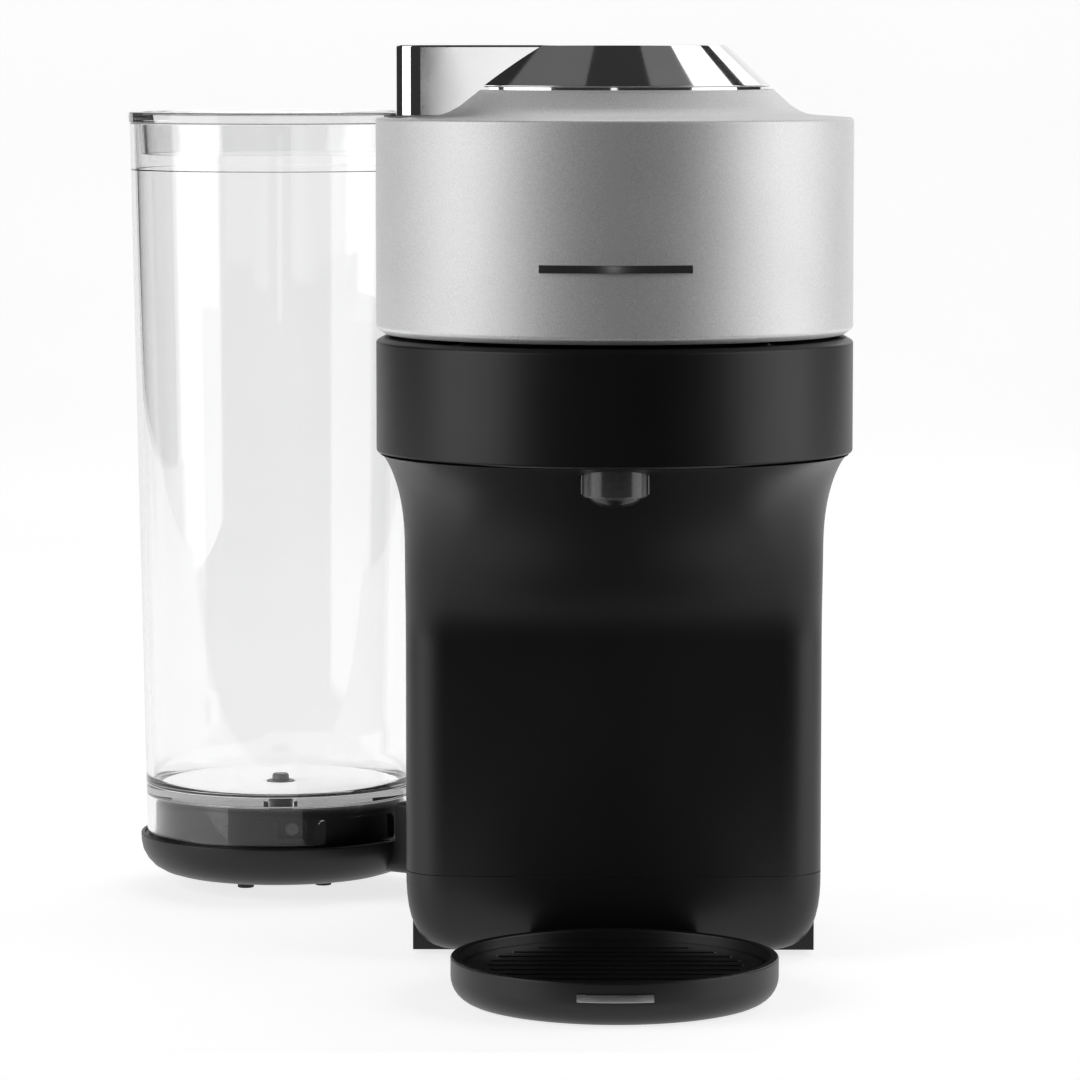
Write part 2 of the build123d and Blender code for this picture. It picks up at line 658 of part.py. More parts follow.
with BuildPart() as brew_button:
    disc((0, 0), BUTTON_R, (271.6, 277.9))
    fillet(brew_button.faces().sort_by(Axis.Z)[-1].edges(), 0.8)
    disc((0, 0), 16.5, (271.0, 276.0), Mode.SUBTRACT)
    disc((0, 0), 3.0, (261.6, 276.2))
keep(brew_button, "brew_button")

with BuildPart() as button_switch:
    block((-5, 5), (-5, 5), (253.2, 258.0))
    disc((0, 0), 2.0, (258.0, 259.6))
keep(button_switch, "button_switch")

with BuildPart() as head_trim:
    turned([(HEAD_R, 213.2), (HEAD_R + 0.7, 213.4), (HEAD_R + 0.7, 215.4), (HEAD_R, 215.6)])
    block((-22, 22), (-80, -50), (210, 220), Mode.INTERSECT)
keep(head_trim, "head_trim")

# ---------------------------------------------------------------- bin for spent pods
GRIP = Plane((0, SWIVEL_Y + COLUMN_HALF + 5, 172), x_dir=(0, 1, 0), z_dir=(1, 0, 0))
with BuildPart() as bin_grip:
    with Locations(GRIP):
        Cylinder(11, 40)
        Cylinder(9, 36, mode=Mode.SUBTRACT)
    disc((0, SWIVEL_Y), COLUMN_HALF - 0.6, (150, 200), Mode.INTERSECT)

with BuildPart() as pod_bin:
    with BuildSketch(Plane.XY.offset(BAY_FLOOR + 0.4)):
        with Locations((0, SWIVEL_Y)):
            Circle(COLUMN_HALF)
        with Locations((0, (BAY_Y + 0.4 + SWIVEL_Y) / 2)):
            Rectangle(2 * COLUMN_HALF, SWIVEL_Y - BAY_Y - 0.4)
        with Locations((0, 0)):
            Rectangle(200, 2 * (BAY_Y + 0.4), mode=Mode.SUBTRACT)
    extrude(amount=REAR_TOP - BAY_FLOOR - 0.4)
    fillet(pod_bin.faces().sort_by(Axis.Z)[-1].edges().sort_by(Axis.Y)[1:], 3.0)
    with BuildSketch(Plane.XY.offset(BAY_FLOOR + 2.6)):
        with Locations((0, SWIVEL_Y)):
            Circle(COLUMN_HALF - 2.2)
        with Locations((0, (BAY_Y + 2.6 + SWIVEL_Y) / 2)):
            Rectangle(2 * (COLUMN_HALF - 2.2), SWIVEL_Y - BAY_Y - 2.6)
        with Locations((0, 0)):
            Rectangle(200, 2 * (BAY_Y + 2.6), mode=Mode.SUBTRACT)
    extrude(amount=REAR_TOP - 2.2 - BAY_FLOOR - 2.6, mode=Mode.SUBTRACT)
    block((-CHUTE_HALF, CHUTE_HALF), (80, 95), (156, 181), Mode.SUBTRACT)
    # finger scoop high on the back
    with Locations(GRIP):
        Cylinder(9, 36, mode=Mode.SUBTRACT)
    add(bin_grip.part)
keep(pod_bin, "pod_bin")

# ---------------------------------------------------------------- drip tray
# tongue of the tray, which plugs into the foot of the column
with BuildPart() as tray_tongue:
    block((-25.5, 25.5), (SPOUT_Y + 20, 29.5), (0, 9.0))
    disc((0, SPOUT_Y), TRAY_R - 2.0, (-1, 20), Mode.SUBTRACT)
    block((-22.5, 22.5), (SPOUT_Y + 52, 26.5), (2.4, 9.5), Mode.SUBTRACT)

with BuildPart() as drip_tray:
    with BuildSketch(Plane((0, SPOUT_Y, 0), x_dir=(1, 0, 0), z_dir=(0, -1, 0))):
        with BuildLine():
            Line((0, 0), (TRAY_R - 7.5, 0))
            ThreePointArc((TRAY_R - 7.5, 0), (TRAY_R - 2.2, 2.2), (TRAY_R, 7.5))
            Polyline(
                (TRAY_R, 7.5),
                (TRAY_R, TRAY_TOP - 0.5),
                (TRAY_R - 0.5, TRAY_TOP),
                (TRAY_R - 2.5, TRAY_TOP),
                (TRAY_R - 2.9, TRAY_TOP - 0.5),
                (TRAY_R - 2.9, 8.4),
                (TRAY_R - 4.8, 8.4),
                (TRAY_R - 4.8, 4.2),
                (TRAY_R - 6.6, 2.4),
                (0, 2.4),
                (0, 0),
            )
        make_face()
    revolve(axis=Axis((0, SPOUT_Y, 0), (0, 0, 1)))
    add(tray_tongue.part)
keep(drip_tray, "drip_tray")

SLOT_PITCH = 7.6
with BuildPart() as drip_grid:
    disc((0, SPOUT_Y), TRAY_R - 3.3, (8.5, GRID_TOP))
    for row in range(-5, 6):
        y = SPOUT_Y + row * SLOT_PITCH
        half = math.sqrt((TRAY_R - 10) ** 2 - (row * SLOT_PITCH) ** 2) if abs(row) < 5 else 0
        if half > 8:
            with Locations((0, y, 8)):
                Box(2 * half, 2.4, 6, mode=Mode.SUBTRACT)
keep(drip_grid, "drip_grid")

with BuildPart() as tray_trim:
    turned(
        [(TRAY_R, 5.9), (TRAY_R + 0.5, 6.1), (TRAY_R + 0.5, 9.9), (TRAY_R, 10.1)],
        Plane((0, SPOUT_Y, 0), x_dir=(1, 0, 0), z_dir=(0, -1, 0)),
        Axis((0, SPOUT_Y, 0), (0, 0, 1)),
    )
    block((-11, 11), (-110, -80), (0, 20), Mode.INTERSECT)
    disc((0, SPOUT_Y), TRAY_R, (5.0, 7.5), Mode.SUBTRACT)
keep(tray_trim, "tray_trim")

# ---------------------------------------------------------------- swivel arm and water tank
DISH_TOP = 18.0
DISH_BASE = 4.3
BEAM_BASE = 7.0
BEAM_NEAR = 1.0
BEAM_WIDTH = 38.0
POST_TOP = 31.0
STEM_FOOT = 32.2
POST_WIDTH = 27.0
DETENT_X = TANK_X + 6.0

# beam and post lie on the far side of the line from the swivel to the tank
with BuildPart() as arm_beam:
    with BuildSketch(ARM_PLANE.offset(BEAM_BASE)):
        with Locations((90, BEAM_NEAR - BEAM_WIDTH / 2)):
            Rectangle(80, BEAM_WIDTH)
    extrude(amount=DISH_TOP - BEAM_BASE)
    fillet(arm_beam.faces().sort_by(Axis.Z)[0].edges().sort_by(SortBy.LENGTH)[-2:], 4.0)
    disc((0, SWIVEL_Y), COLUMN_HALF + 0.8, (0, 11.0), Mode.SUBTRACT)

with BuildPart() as tank_arm:
    disc((0, SWIVEL_Y), COLUMN_HALF, (11.0, 24.0))
    add(arm_beam.part)
    with BuildSketch(ARM_PLANE.offset(DISH_TOP - 0.5)):
        with Locations((74.4, BEAM_NEAR - POST_WIDTH / 2)):
            Rectangle(19.5, POST_WIDTH)
    extrude(amount=POST_TOP - DISH_TOP + 0.5)
    disc((TANK_X, TANK_Y), 47.0, (DISH_TOP, 40), Mode.SUBTRACT)
    disc((0, SWIVEL_Y), RING_BORE, (5, 30), Mode.SUBTRACT)
    with BuildSketch(TANK_PROFILE):
        with BuildLine():
            Line((0, DISH_BASE), (33, DISH_BASE))
            ThreePointArc((33, DISH_BASE), (42.4, 7.7), (46.4, 15.0))
            Polyline((46.4, 15.0), (46.4, DISH_TOP), (41.2, DISH_TOP), (41.2, 27.5))
            ThreePointArc((41.2, 27.5), (40.5, 29.2), (38.7, 30.0))
            Polyline((38.7, 30.0), (0, 30.0), (0, DISH_BASE))
        make_face()
    revolve(axis=TANK_AXIS)
    disc((TANK_X, TANK_Y), 5.2, (24.0, 40), Mode.SUBTRACT)
    # window of the detent in the front of the pedestal
    block((DETENT_X - 4.65, DETENT_X + 4.65), (TANK_Y - 45, TANK_Y - 38.4), (21, 27), Mode.SUBTRACT)
keep(tank_arm, "tank_arm")

with BuildPart() as tank_detent:
    with Locations(Plane((DETENT_X, TANK_Y - 38.5, 24), z_dir=(0, -1, 0))):
        Cylinder(2.3, 1.6, align=(Align.CENTER, Align.CENTER, Align.MIN))
        fillet(tank_detent.faces().sort_by(Axis.Y)[0].edges(), 0.6)
keep(tank_detent, "tank_detent")

with BuildPart() as arm_glides:
    for angle in (222, 342, 102):
        spot = (
            TANK_X + 15 * math.cos(math.radians(angle)),
            TANK_Y + 15 * math.sin(math.radians(angle)),
        )
        disc(spot, 2.7, (0.0, DISH_BASE))
keep(arm_glides, "arm_glides")

with BuildPart() as inlet_seal:
    disc((TANK_X, TANK_Y), 5.1, (24.1, 28.0))
    disc((TANK_X, TANK_Y), 2.0, (23.0, 29.0), Mode.SUBTRACT)
    chamfer(inlet_seal.edges().group_by(Axis.Z)[-1], 0.4)
keep(inlet_seal, "inlet_seal")

VALVE_R = 4.0
TAPER = (TANK_TOP_R - TANK_BASE_R) / (TANK_RIM - TANK_BASE)
with BuildPart() as water_tank:
    rim_step = 237.4
    step_r = TANK_BASE_R + TAPER * (rim_step - TANK_BASE)
    floor_r = TANK_BASE_R + TAPER * (TANK_FLOOR - TANK_BASE) - TANK_WALL
    turned(
        [
            (TANK_BASE_R, TANK_BASE),
            (TANK_TOP_R, TANK_RIM),
            (TANK_TOP_R - 1.5, TANK_RIM),
            (step_r - 1.6, rim_step),
            (step_r - TANK_WALL, rim_step),
            (floor_r + 0.1, TANK_FLOOR + 5),
            (floor_r - 1.4, TANK_FLOOR + 1.4),
            (floor_r - 5.0, TANK_FLOOR),
            (VALVE_R + 0.05, TANK_FLOOR),
            (VALVE_R + 0.05, TANK_FLOOR - 2.6),
            (floor_r - 0.6, TANK_FLOOR - 2.6),
            (TANK_BASE_R - TANK_WALL, TANK_BASE),
        ],
        TANK_PROFILE,
        TANK_AXIS,
    )
    # skirt is cut away above the arm
    with BuildSketch(ARM_PLANE.offset(TANK_BASE - 1)):
        with Locations((ARM_REACH - 45, BEAM_NEAR - POST_WIDTH / 2)):
            Rectangle(20, POST_WIDTH + 3)
    extrude(amount=9.5, mode=Mode.SUBTRACT)
keep(water_tank, "water_tank")

with BuildPart() as valve_seat:
    turned(
        [
            (1.9, TANK_FLOOR - 5.0),
            (VALVE_R, TANK_FLOOR - 5.0),
            (VALVE_R, TANK_FLOOR + 0.1),
            (4.7, TANK_FLOOR + 0.1),
            (4.5, TANK_FLOOR + 0.7),
            (3.1, TANK_FLOOR + 0.7),
            (3.1, TANK_FLOOR - 2.0),
            (1.9, TANK_FLOOR - 2.0),
        ],
        TANK_PROFILE,
        TANK_AXIS,
    )
keep(valve_seat, "valve_seat")

with BuildPart() as valve_plunger:
    turned(
        [(0, STEM_FOOT), (1.85, STEM_FOOT), (1.85, 34.5), (2.8, 34.5), (2.8, 36.3), (2.3, 36.9), (0, 36.9)],
        TANK_PROFILE,
        TANK_AXIS,
    )
keep(valve_plunger, "valve_plunger")

with BuildPart() as tank_lid:
    turned(
        [
            (0, LID_TOP - 0.9),
            (44.0, LID_TOP - 0.9),
            (45.2, LID_TOP),
            (TANK_TOP_R + 0.2, LID_TOP),
            (TANK_TOP_R + 0.4, LID_TOP - 0.4),
            (TANK_TOP_R + 0.4, TANK_RIM + 0.1),
            (45.6, TANK_RIM + 0.1),
            (45.0, 242.3),
            (42.8, 242.3),
            (43.4, LID_TOP - 3.3),
            (0, LID_TOP - 3.3),
        ],
        TANK_PROFILE,
        TANK_AXIS,
    )
keep(tank_lid, "tank_lid")
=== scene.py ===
"""Looks of a pod coffee machine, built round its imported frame.

Sizes in the classes are millimetres; meshes are written in metres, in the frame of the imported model.
"""
from __future__ import annotations

import json
import logging
import math
from dataclasses import dataclass, field
from enum import Enum
from typing import Any, Iterable, Sequence

import bmesh
import bpy
from mathutils import Matrix, Vector


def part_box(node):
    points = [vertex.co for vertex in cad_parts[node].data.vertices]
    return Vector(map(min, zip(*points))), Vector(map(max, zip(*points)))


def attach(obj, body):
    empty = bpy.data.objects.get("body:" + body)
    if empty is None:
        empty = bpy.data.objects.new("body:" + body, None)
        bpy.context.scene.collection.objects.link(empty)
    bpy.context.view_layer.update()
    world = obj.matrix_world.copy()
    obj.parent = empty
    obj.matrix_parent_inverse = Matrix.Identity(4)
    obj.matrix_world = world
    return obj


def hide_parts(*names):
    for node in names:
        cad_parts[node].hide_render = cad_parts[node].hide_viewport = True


MM = 0.001
LOG = logging.getLogger("pod_machine")

# places that several parts of the body share, in millimetres
COLUMN_HALF = 63.4
SWIVEL_Y = 100.0
BAY_Y = 86.3
BAND_BOTTOM = 157.2
SPOUT_Y = -47.0
POD_WAY_HALF = 33.5

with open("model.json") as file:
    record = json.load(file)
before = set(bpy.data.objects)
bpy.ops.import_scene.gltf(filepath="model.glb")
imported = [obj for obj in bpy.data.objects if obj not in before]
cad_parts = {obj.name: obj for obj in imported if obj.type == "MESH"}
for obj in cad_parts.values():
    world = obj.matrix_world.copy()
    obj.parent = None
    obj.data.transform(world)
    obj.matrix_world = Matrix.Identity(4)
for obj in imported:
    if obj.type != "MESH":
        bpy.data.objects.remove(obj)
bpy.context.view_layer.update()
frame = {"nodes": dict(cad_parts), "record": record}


# ---------------------------------------------------------------- shader tools
class Signal:
    """A shader socket that takes part in ordinary arithmetic."""

    def __init__(self, graph: "Graph", socket: bpy.types.NodeSocket) -> None:
        """Wraps an output socket of a node in the graph."""
        self.graph = graph
        self.socket = socket

    def _math(self, operation: str, first: Any, second: Any) -> "Signal":
        """Adds one Math node.

        Args:
            operation: the node's operation.
            first: left value or signal.
            second: right value or signal.

        Returns:
            The node's result.
        """
        return self.graph.node("ShaderNodeMath", {"operation": operation}, {0: first, 1: second})

    def __add__(self, other: Any) -> "Signal":
        """Sum."""
        return self._math("ADD", self, other)

    def __radd__(self, other: Any) -> "Signal":
        """Sum, reflected."""
        return self._math("ADD", other, self)

    def __sub__(self, other: Any) -> "Signal":
        """Difference."""
        return self._math("SUBTRACT", self, other)

    def __rsub__(self, other: Any) -> "Signal":
        """Difference, reflected."""
        return self._math("SUBTRACT", other, self)

    def __mul__(self, other: Any) -> "Signal":
        """Product."""
        return self._math("MULTIPLY", self, other)

    def __rmul__(self, other: Any) -> "Signal":
        """Product, reflected."""
        return self._math("MULTIPLY", other, self)

    def __pow__(self, other: Any) -> "Signal":
        """Power."""
        return self._math("POWER", self, other)


class Graph:
    """The node tree of one material."""

    def __init__(self, name: str) -> None:
        """Makes an empty material of that name with its output node."""
        self.material = bpy.data.materials.new(name)
        self.material.use_nodes = True
        self.tree = self.material.node_tree
        self.tree.nodes.clear()
        self.output = self.tree.nodes.new("ShaderNodeOutputMaterial")

    def node(
        self,
        kind: str,
        settings: dict[str, Any] | None = None,
        inputs: dict[str | int, Any] | None = None,
        out: str | int = 0,
    ) -> Signal:
        """Adds any node.

        Args:
            kind: the node's type.
            settings: its properties; "stops" is a ramp's list of (position, grey).
            inputs: socket name or number to a value or a signal.
            out: name or number of the output wanted.

        Returns:
            That output, as a signal.
        """
        node = self.tree.nodes.new(kind)
        for key, value in (settings or {}).items():
            if key == "stops":
                self._stops(node.color_ramp, value)
            else:
                setattr(node, key, value)
        for key, value in (inputs or {}).items():
            if isinstance(value, Signal):
                self.tree.links.new(value.socket, node.inputs[key])
            else:
                node.inputs[key].default_value = value
        return Signal(self, node.outputs[out])

    @staticmethod
    def _stops(ramp: bpy.types.ColorRamp, stops: Sequence[tuple[float, float]]) -> None:
        """Sets a ramp's stops from (position, grey) pairs."""
        while len(ramp.elements) < len(stops):
            ramp.elements.new(0.5)
        for element, (position, grey) in zip(ramp.elements, stops):
            element.position = position
            element.color = (grey, grey, grey, 1)

    def place(self) -> Signal:
        """Object coordinates, in metres."""
        return self.node("ShaderNodeTexCoord", out="Object")

    def noise(self, size: float, detail: float = 2.0, stretch: Sequence[float] = (1, 1, 1)) -> Signal:
        """Cloudy noise.

        Args:
            size: size of a patch in millimetres.
            detail: octaves.
            stretch: how much longer the patches are along each axis.

        Returns:
            A grey signal about 0.5.
        """
        scale = tuple(1.0 / s for s in stretch)
        spot = self.node("ShaderNodeMapping", inputs={"Vector": self.place(), "Scale": scale})
        return self.node(
            "ShaderNodeTexNoise", inputs={"Vector": spot, "Scale": 1000.0 / size, "Detail": detail}
        )

    def mix(self, factor: Signal, low: Sequence[float], high: Sequence[float]) -> Signal:
        """A colour between two.

        Args:
            factor: 0 gives low and 1 gives high.
            low: first colour.
            high: second colour.

        Returns:
            The mixed colour.
        """
        inputs = {"Factor": factor, 6: (*low, 1), 7: (*high, 1)}
        return self.node("ShaderNodeMix", {"data_type": "RGBA"}, inputs, out=2)

    def spread(self, signal: Signal, low: float, high: float, floor: float, top: float) -> Signal:
        """Maps a signal's range on to another, clamped.

        Args:
            signal: what is mapped.
            low: its value that gives floor.
            high: its value that gives top.
            floor: lowest result.
            top: highest result.

        Returns:
            The mapped signal.
        """
        inputs = {"Value": signal, 1: low, 2: high, 3: floor, 4: top}
        return self.node("ShaderNodeMapRange", inputs=inputs)

    def bump(self, height: Signal, depth: float) -> Signal:
        """A normal from a height; depth is in millimetres."""
        inputs = {"Height": height, "Distance": depth * MM}
        return self.node("ShaderNodeBump", inputs=inputs, out="Normal")

    def surface(self, **inputs: Any) -> bpy.types.Material:
        """Closes the material with a Principled surface.

        Args:
            inputs: socket names, with _ for a space, to values or signals.

        Returns:
            The finished material.
        """
        named = {key.replace("_", " "): value for key, value in inputs.items()}
        shader = self.node("ShaderNodeBsdfPrincipled", inputs=named)
        self.tree.links.new(shader.socket, self.output.inputs["Surface"])
        return self.material


Colour = tuple[float, float, float]


@dataclass(frozen=True)
class Moulding:
    """Moulded plastic with a spark-eroded grain."""

    name: str
    colour: Colour
    roughness: float = 0.5
    grain: float = 0.35
    depth: float = 0.012
    gloss: float = 0.5

    def build(self) -> bpy.types.Material:
        """The material: fine grain, slow mottling, and a roughness that follows both."""
        graph = Graph(self.name)
        grain = graph.noise(self.grain, 3.0)
        cloud = graph.noise(38.0, 2.0)
        tone = graph.spread(grain * 0.6 + cloud * 0.4, 0.35, 0.65, 0.0, 1.0)
        low = tuple(c * 0.86 for c in self.colour)
        high = tuple(min(1.0, c * 1.16) for c in self.colour)
        rough = graph.spread(grain * 0.5 + cloud * 0.5, 0.35, 0.65, -0.04, 0.04) + self.roughness
        return graph.surface(
            Base_Color=graph.mix(tone, low, high),
            Roughness=rough,
            Specular_IOR_Level=self.gloss,
            Normal=graph.bump(grain, self.depth),
        )


@dataclass(frozen=True)
class MetallicPaint:
    """Satin silver paint: a metal flake that sparkles in the shade."""

    name: str
    colour: Colour
    roughness: float = 0.36
    metal: float = 0.74

    def build(self) -> bpy.types.Material:
        """The material: two sizes of flake in tone, roughness and a shallow bump."""
        graph = Graph(self.name)
        flake = graph.noise(0.42, 2.0)
        fine = graph.noise(0.2, 1.0)
        cloud = graph.noise(45.0, 2.0)
        speck = flake * 0.6 + fine * 0.4
        tone = graph.spread(speck * 0.8 + cloud * 0.2, 0.34, 0.66, 0.0, 1.0)
        low = tuple(c * 0.82 for c in self.colour)
        high = tuple(min(1.0, c * 1.15) for c in self.colour)
        return graph.surface(
            Base_Color=graph.mix(tone, low, high),
            Metallic=self.metal,
            Roughness=graph.spread(speck, 0.3, 0.7, self.roughness - 0.06, self.roughness + 0.06),
            Normal=graph.bump(speck, 0.009),
        )


@dataclass(frozen=True)
class Plating:
    """Chrome plate or another bare metal; lay stretches the scratches of a brushed one along X."""

    name: str
    colour: Colour
    roughness: float = 0.06
    lay: float = 1.0
    scratch: float = 0.0

    def build(self) -> bpy.types.Material:
        """The material: faint smudges, and brushing where it has a lay."""
        graph = Graph(self.name)
        smudge = graph.noise(26.0, 4.0)
        lines = graph.noise(0.5, 2.0, (self.lay, 1, 1))
        tone = graph.spread(smudge * 0.5 + lines * 0.5, 0.35, 0.65, 0.0, 1.0)
        low = tuple(c * 0.93 for c in self.colour)
        rough = graph.spread(smudge * 0.6 + lines * 0.4, 0.35, 0.65, 0.0, 0.05) + self.roughness
        inputs: dict[str, Any] = {
            "Base_Color": graph.mix(tone, low, self.colour),
            "Metallic": 1.0,
            "Roughness": rough,
        }
        if self.scratch > 0:
            inputs["Normal"] = graph.bump(lines, self.scratch)
        return graph.surface(**inputs)


@dataclass(frozen=True)
class ClearMoulding:
    """Clear moulded plastic with the faintest haze."""

    name: str
    tint: Colour
    haze: float = 0.012
    smoke: float = 12.0

    def build(self) -> bpy.types.Material:
        """The material: refracting, with a slow variation of tint and haze."""
        graph = Graph(self.name)
        flow = graph.noise(60.0, 2.0, (1, 1, 3))
        tone = graph.spread(flow, 0.35, 0.65, 0.0, 1.0)
        high = tuple(min(1.0, c * 1.02) for c in self.tint)
        absorbed = {"Color": (0, 0, 0, 1), "Density": self.smoke}
        depth = graph.node("ShaderNodeVolumeAbsorption", inputs=absorbed)
        graph.tree.links.new(depth.socket, graph.output.inputs["Volume"])
        return graph.surface(
            Base_Color=graph.mix(tone, self.tint, high),
            Roughness=graph.spread(flow, 0.35, 0.65, 0.0, self.haze),
            IOR=1.46,
            Transmission_Weight=1.0,
        )


@dataclass(frozen=True)
class FrostedMouldingPaintedGlow:
    """Frosted side of a clear moulding, with a painted glow: its emission stands in for the light that comes
    through the wall behind it.
    """

    name: str
    colour: Colour
    # strength of the painted glow, an emission in place of real light through the wall
    glow: float = 0.36

    def build(self) -> bpy.types.Material:
        """The material: pale, with a painted even glow from emission and a fine frost."""
        graph = Graph(self.name)
        frost = graph.noise(0.8, 3.0)
        tone = graph.spread(frost, 0.35, 0.65, 0.0, 1.0)
        low = tuple(c * 0.94 for c in self.colour)
        return graph.surface(
            Base_Color=graph.mix(tone, low, self.colour),
            Roughness=graph.spread(frost, 0.3, 0.7, 0.5, 0.65),
            # painted glow: emission stands in for the light that comes through the jar's wall
            Emission_Color=graph.mix(tone, low, self.colour),
            Emission_Strength=self.glow,
        )


@dataclass(frozen=True)
class Soft:
    """Rubber or silicone with a dusty bloom."""

    name: str
    colour: Colour
    roughness: float = 0.75

    def build(self) -> bpy.types.Material:
        """The material: bloom in tone and roughness over a pored skin."""
        graph = Graph(self.name)
        pores = graph.noise(0.6, 3.0)
        bloom = graph.noise(14.0, 3.0)
        tone = graph.spread(bloom * 0.7 + pores * 0.3, 0.35, 0.65, 0.0, 1.0)
        high = tuple(min(1.0, c * 1.35) for c in self.colour)
        return graph.surface(
            Base_Color=graph.mix(tone, self.colour, high),
            Roughness=graph.spread(bloom, 0.3, 0.7, self.roughness - 0.1, self.roughness + 0.1),
            Normal=graph.bump(pores, 0.02),
        )


@dataclass(frozen=True)
class StudioPaper:
    """Pale seamless paper, lit through so that it stays near white."""

    name: str = "studio_paper"
    glow: float = 0.76

    def build(self) -> bpy.types.Material:
        """The material: faint mottling and a soft glow."""
        graph = Graph(self.name)
        cloud = graph.noise(300.0, 2.0)
        tone = graph.spread(cloud, 0.3, 0.7, 0.0, 1.0)
        return graph.surface(
            Base_Color=graph.mix(tone, (0.5, 0.5, 0.5), (0.54, 0.54, 0.54)),
            Roughness=0.9,
            Specular_IOR_Level=0.0,
            Emission_Color=(1, 1, 1, 1),
            Emission_Strength=self.glow,
        )


class Finish(Enum):
    """Every finish of the machine, by its slot in the record."""

    BLACK_BODY = Moulding("black_body", (0.0058, 0.0058, 0.0061), 0.4, 0.35, 0.004, 0.4)
    BLACK_GLOSS = Moulding("black_gloss", (0.02, 0.02, 0.02), 0.22, 0.8, 0.002)
    RUBBER = Soft("rubber", (0.02, 0.02, 0.02))
    STEEL = Plating("steel", (0.55, 0.55, 0.54), 0.24, 12.0, 0.004)
    INNER_PLASTIC = Moulding("inner_plastic", (0.07, 0.07, 0.072), 0.42)
    SPOUT_GLOSS = Moulding("spout_gloss", (0.1, 0.1, 0.1), 0.2, 1.2, 0.001)
    SPOUT_DARK = Moulding("spout_dark", (0.018, 0.018, 0.018), 0.25, 1.2, 0.001)
    MOTOR_STEEL = Plating("motor_steel", (0.38, 0.38, 0.4), 0.32, 1.0, 0.006)
    ALUMINIUM = Plating("aluminium", (0.7, 0.7, 0.71), 0.34, 1.0, 0.01)
    CIRCUIT_BOARD = Moulding("circuit_board", (0.02, 0.13, 0.05), 0.3, 1.5, 0.01)
    HOSE = Soft("hose", (0.55, 0.55, 0.52), 0.4)
    SILVER_SHELL = MetallicPaint("silver_shell", (0.9, 0.905, 0.9), 0.56, 0.64)
    CHROME = Plating("chrome", (0.82, 0.82, 0.82), 0.045)
    BUTTON_CHROME = Plating("button_chrome", (0.72, 0.72, 0.72), 0.2, 1.0, 0.002)
    LIGHT_RING = Moulding("light_ring", (0.75, 0.75, 0.72), 0.3, 1.0, 0.001)
    TRIM_STEEL = Plating("trim_steel", (0.42, 0.42, 0.42), 0.16, 20.0, 0.002)
    CLAMP_PLASTIC = Moulding("clamp_plastic", (0.06, 0.06, 0.062), 0.3, 0.9, 0.004)
    CLEAR_TANK = ClearMoulding("clear_tank", (0.985, 0.986, 0.986))
    CLEAR_LID = ClearMoulding("clear_lid", (0.985, 0.986, 0.986), 0.02, 2.0)
    # the tank's frosted floor, with a painted glow in place of the light through the jar
    FROSTED_PAINTED_GLOW = FrostedMouldingPaintedGlow("clear_tank", (0.9, 0.9, 0.9))
    GRID_GLOSS = Plating("grid_gloss", (0.26, 0.26, 0.26), 0.2, 16.0, 0.003)

    @property
    def slot(self) -> str:
        """Name of the record's slot."""
        return self.value.name

    def material(self) -> bpy.types.Material:
        """The finish's one material, made when it is first asked for."""
        return bpy.data.materials.get("finish_" + self.name.lower()) or self._make()

    def _make(self) -> bpy.types.Material:
        """Builds the material and gives it the finish's name."""
        material = self.value.build()
        material.name = "finish_" + self.name.lower()
        return material


# ---------------------------------------------------------------- mesh tools
@dataclass(frozen=True)
class Corner:
    """A corner of a turned profile: radius, height and the radius that rounds it off."""

    r: float
    z: float
    soft: float = 0.0


def arc(centre: tuple[float, float], radius: float, first: float, last: float, count: int) -> list[Corner]:
    """Points of an arc in a profile.

    Args:
        centre: (radius, height) of the arc's centre.
        radius: the arc's radius.
        first: angle of its first point in degrees, from the outward direction.
        last: angle of its last point.
        count: number of points.

    Returns:
        The points in order.
    """
    angles = [math.radians(first + (last - first) * i / (count - 1)) for i in range(count)]
    return [Corner(centre[0] + radius * math.cos(a), centre[1] + radius * math.sin(a)) for a in angles]


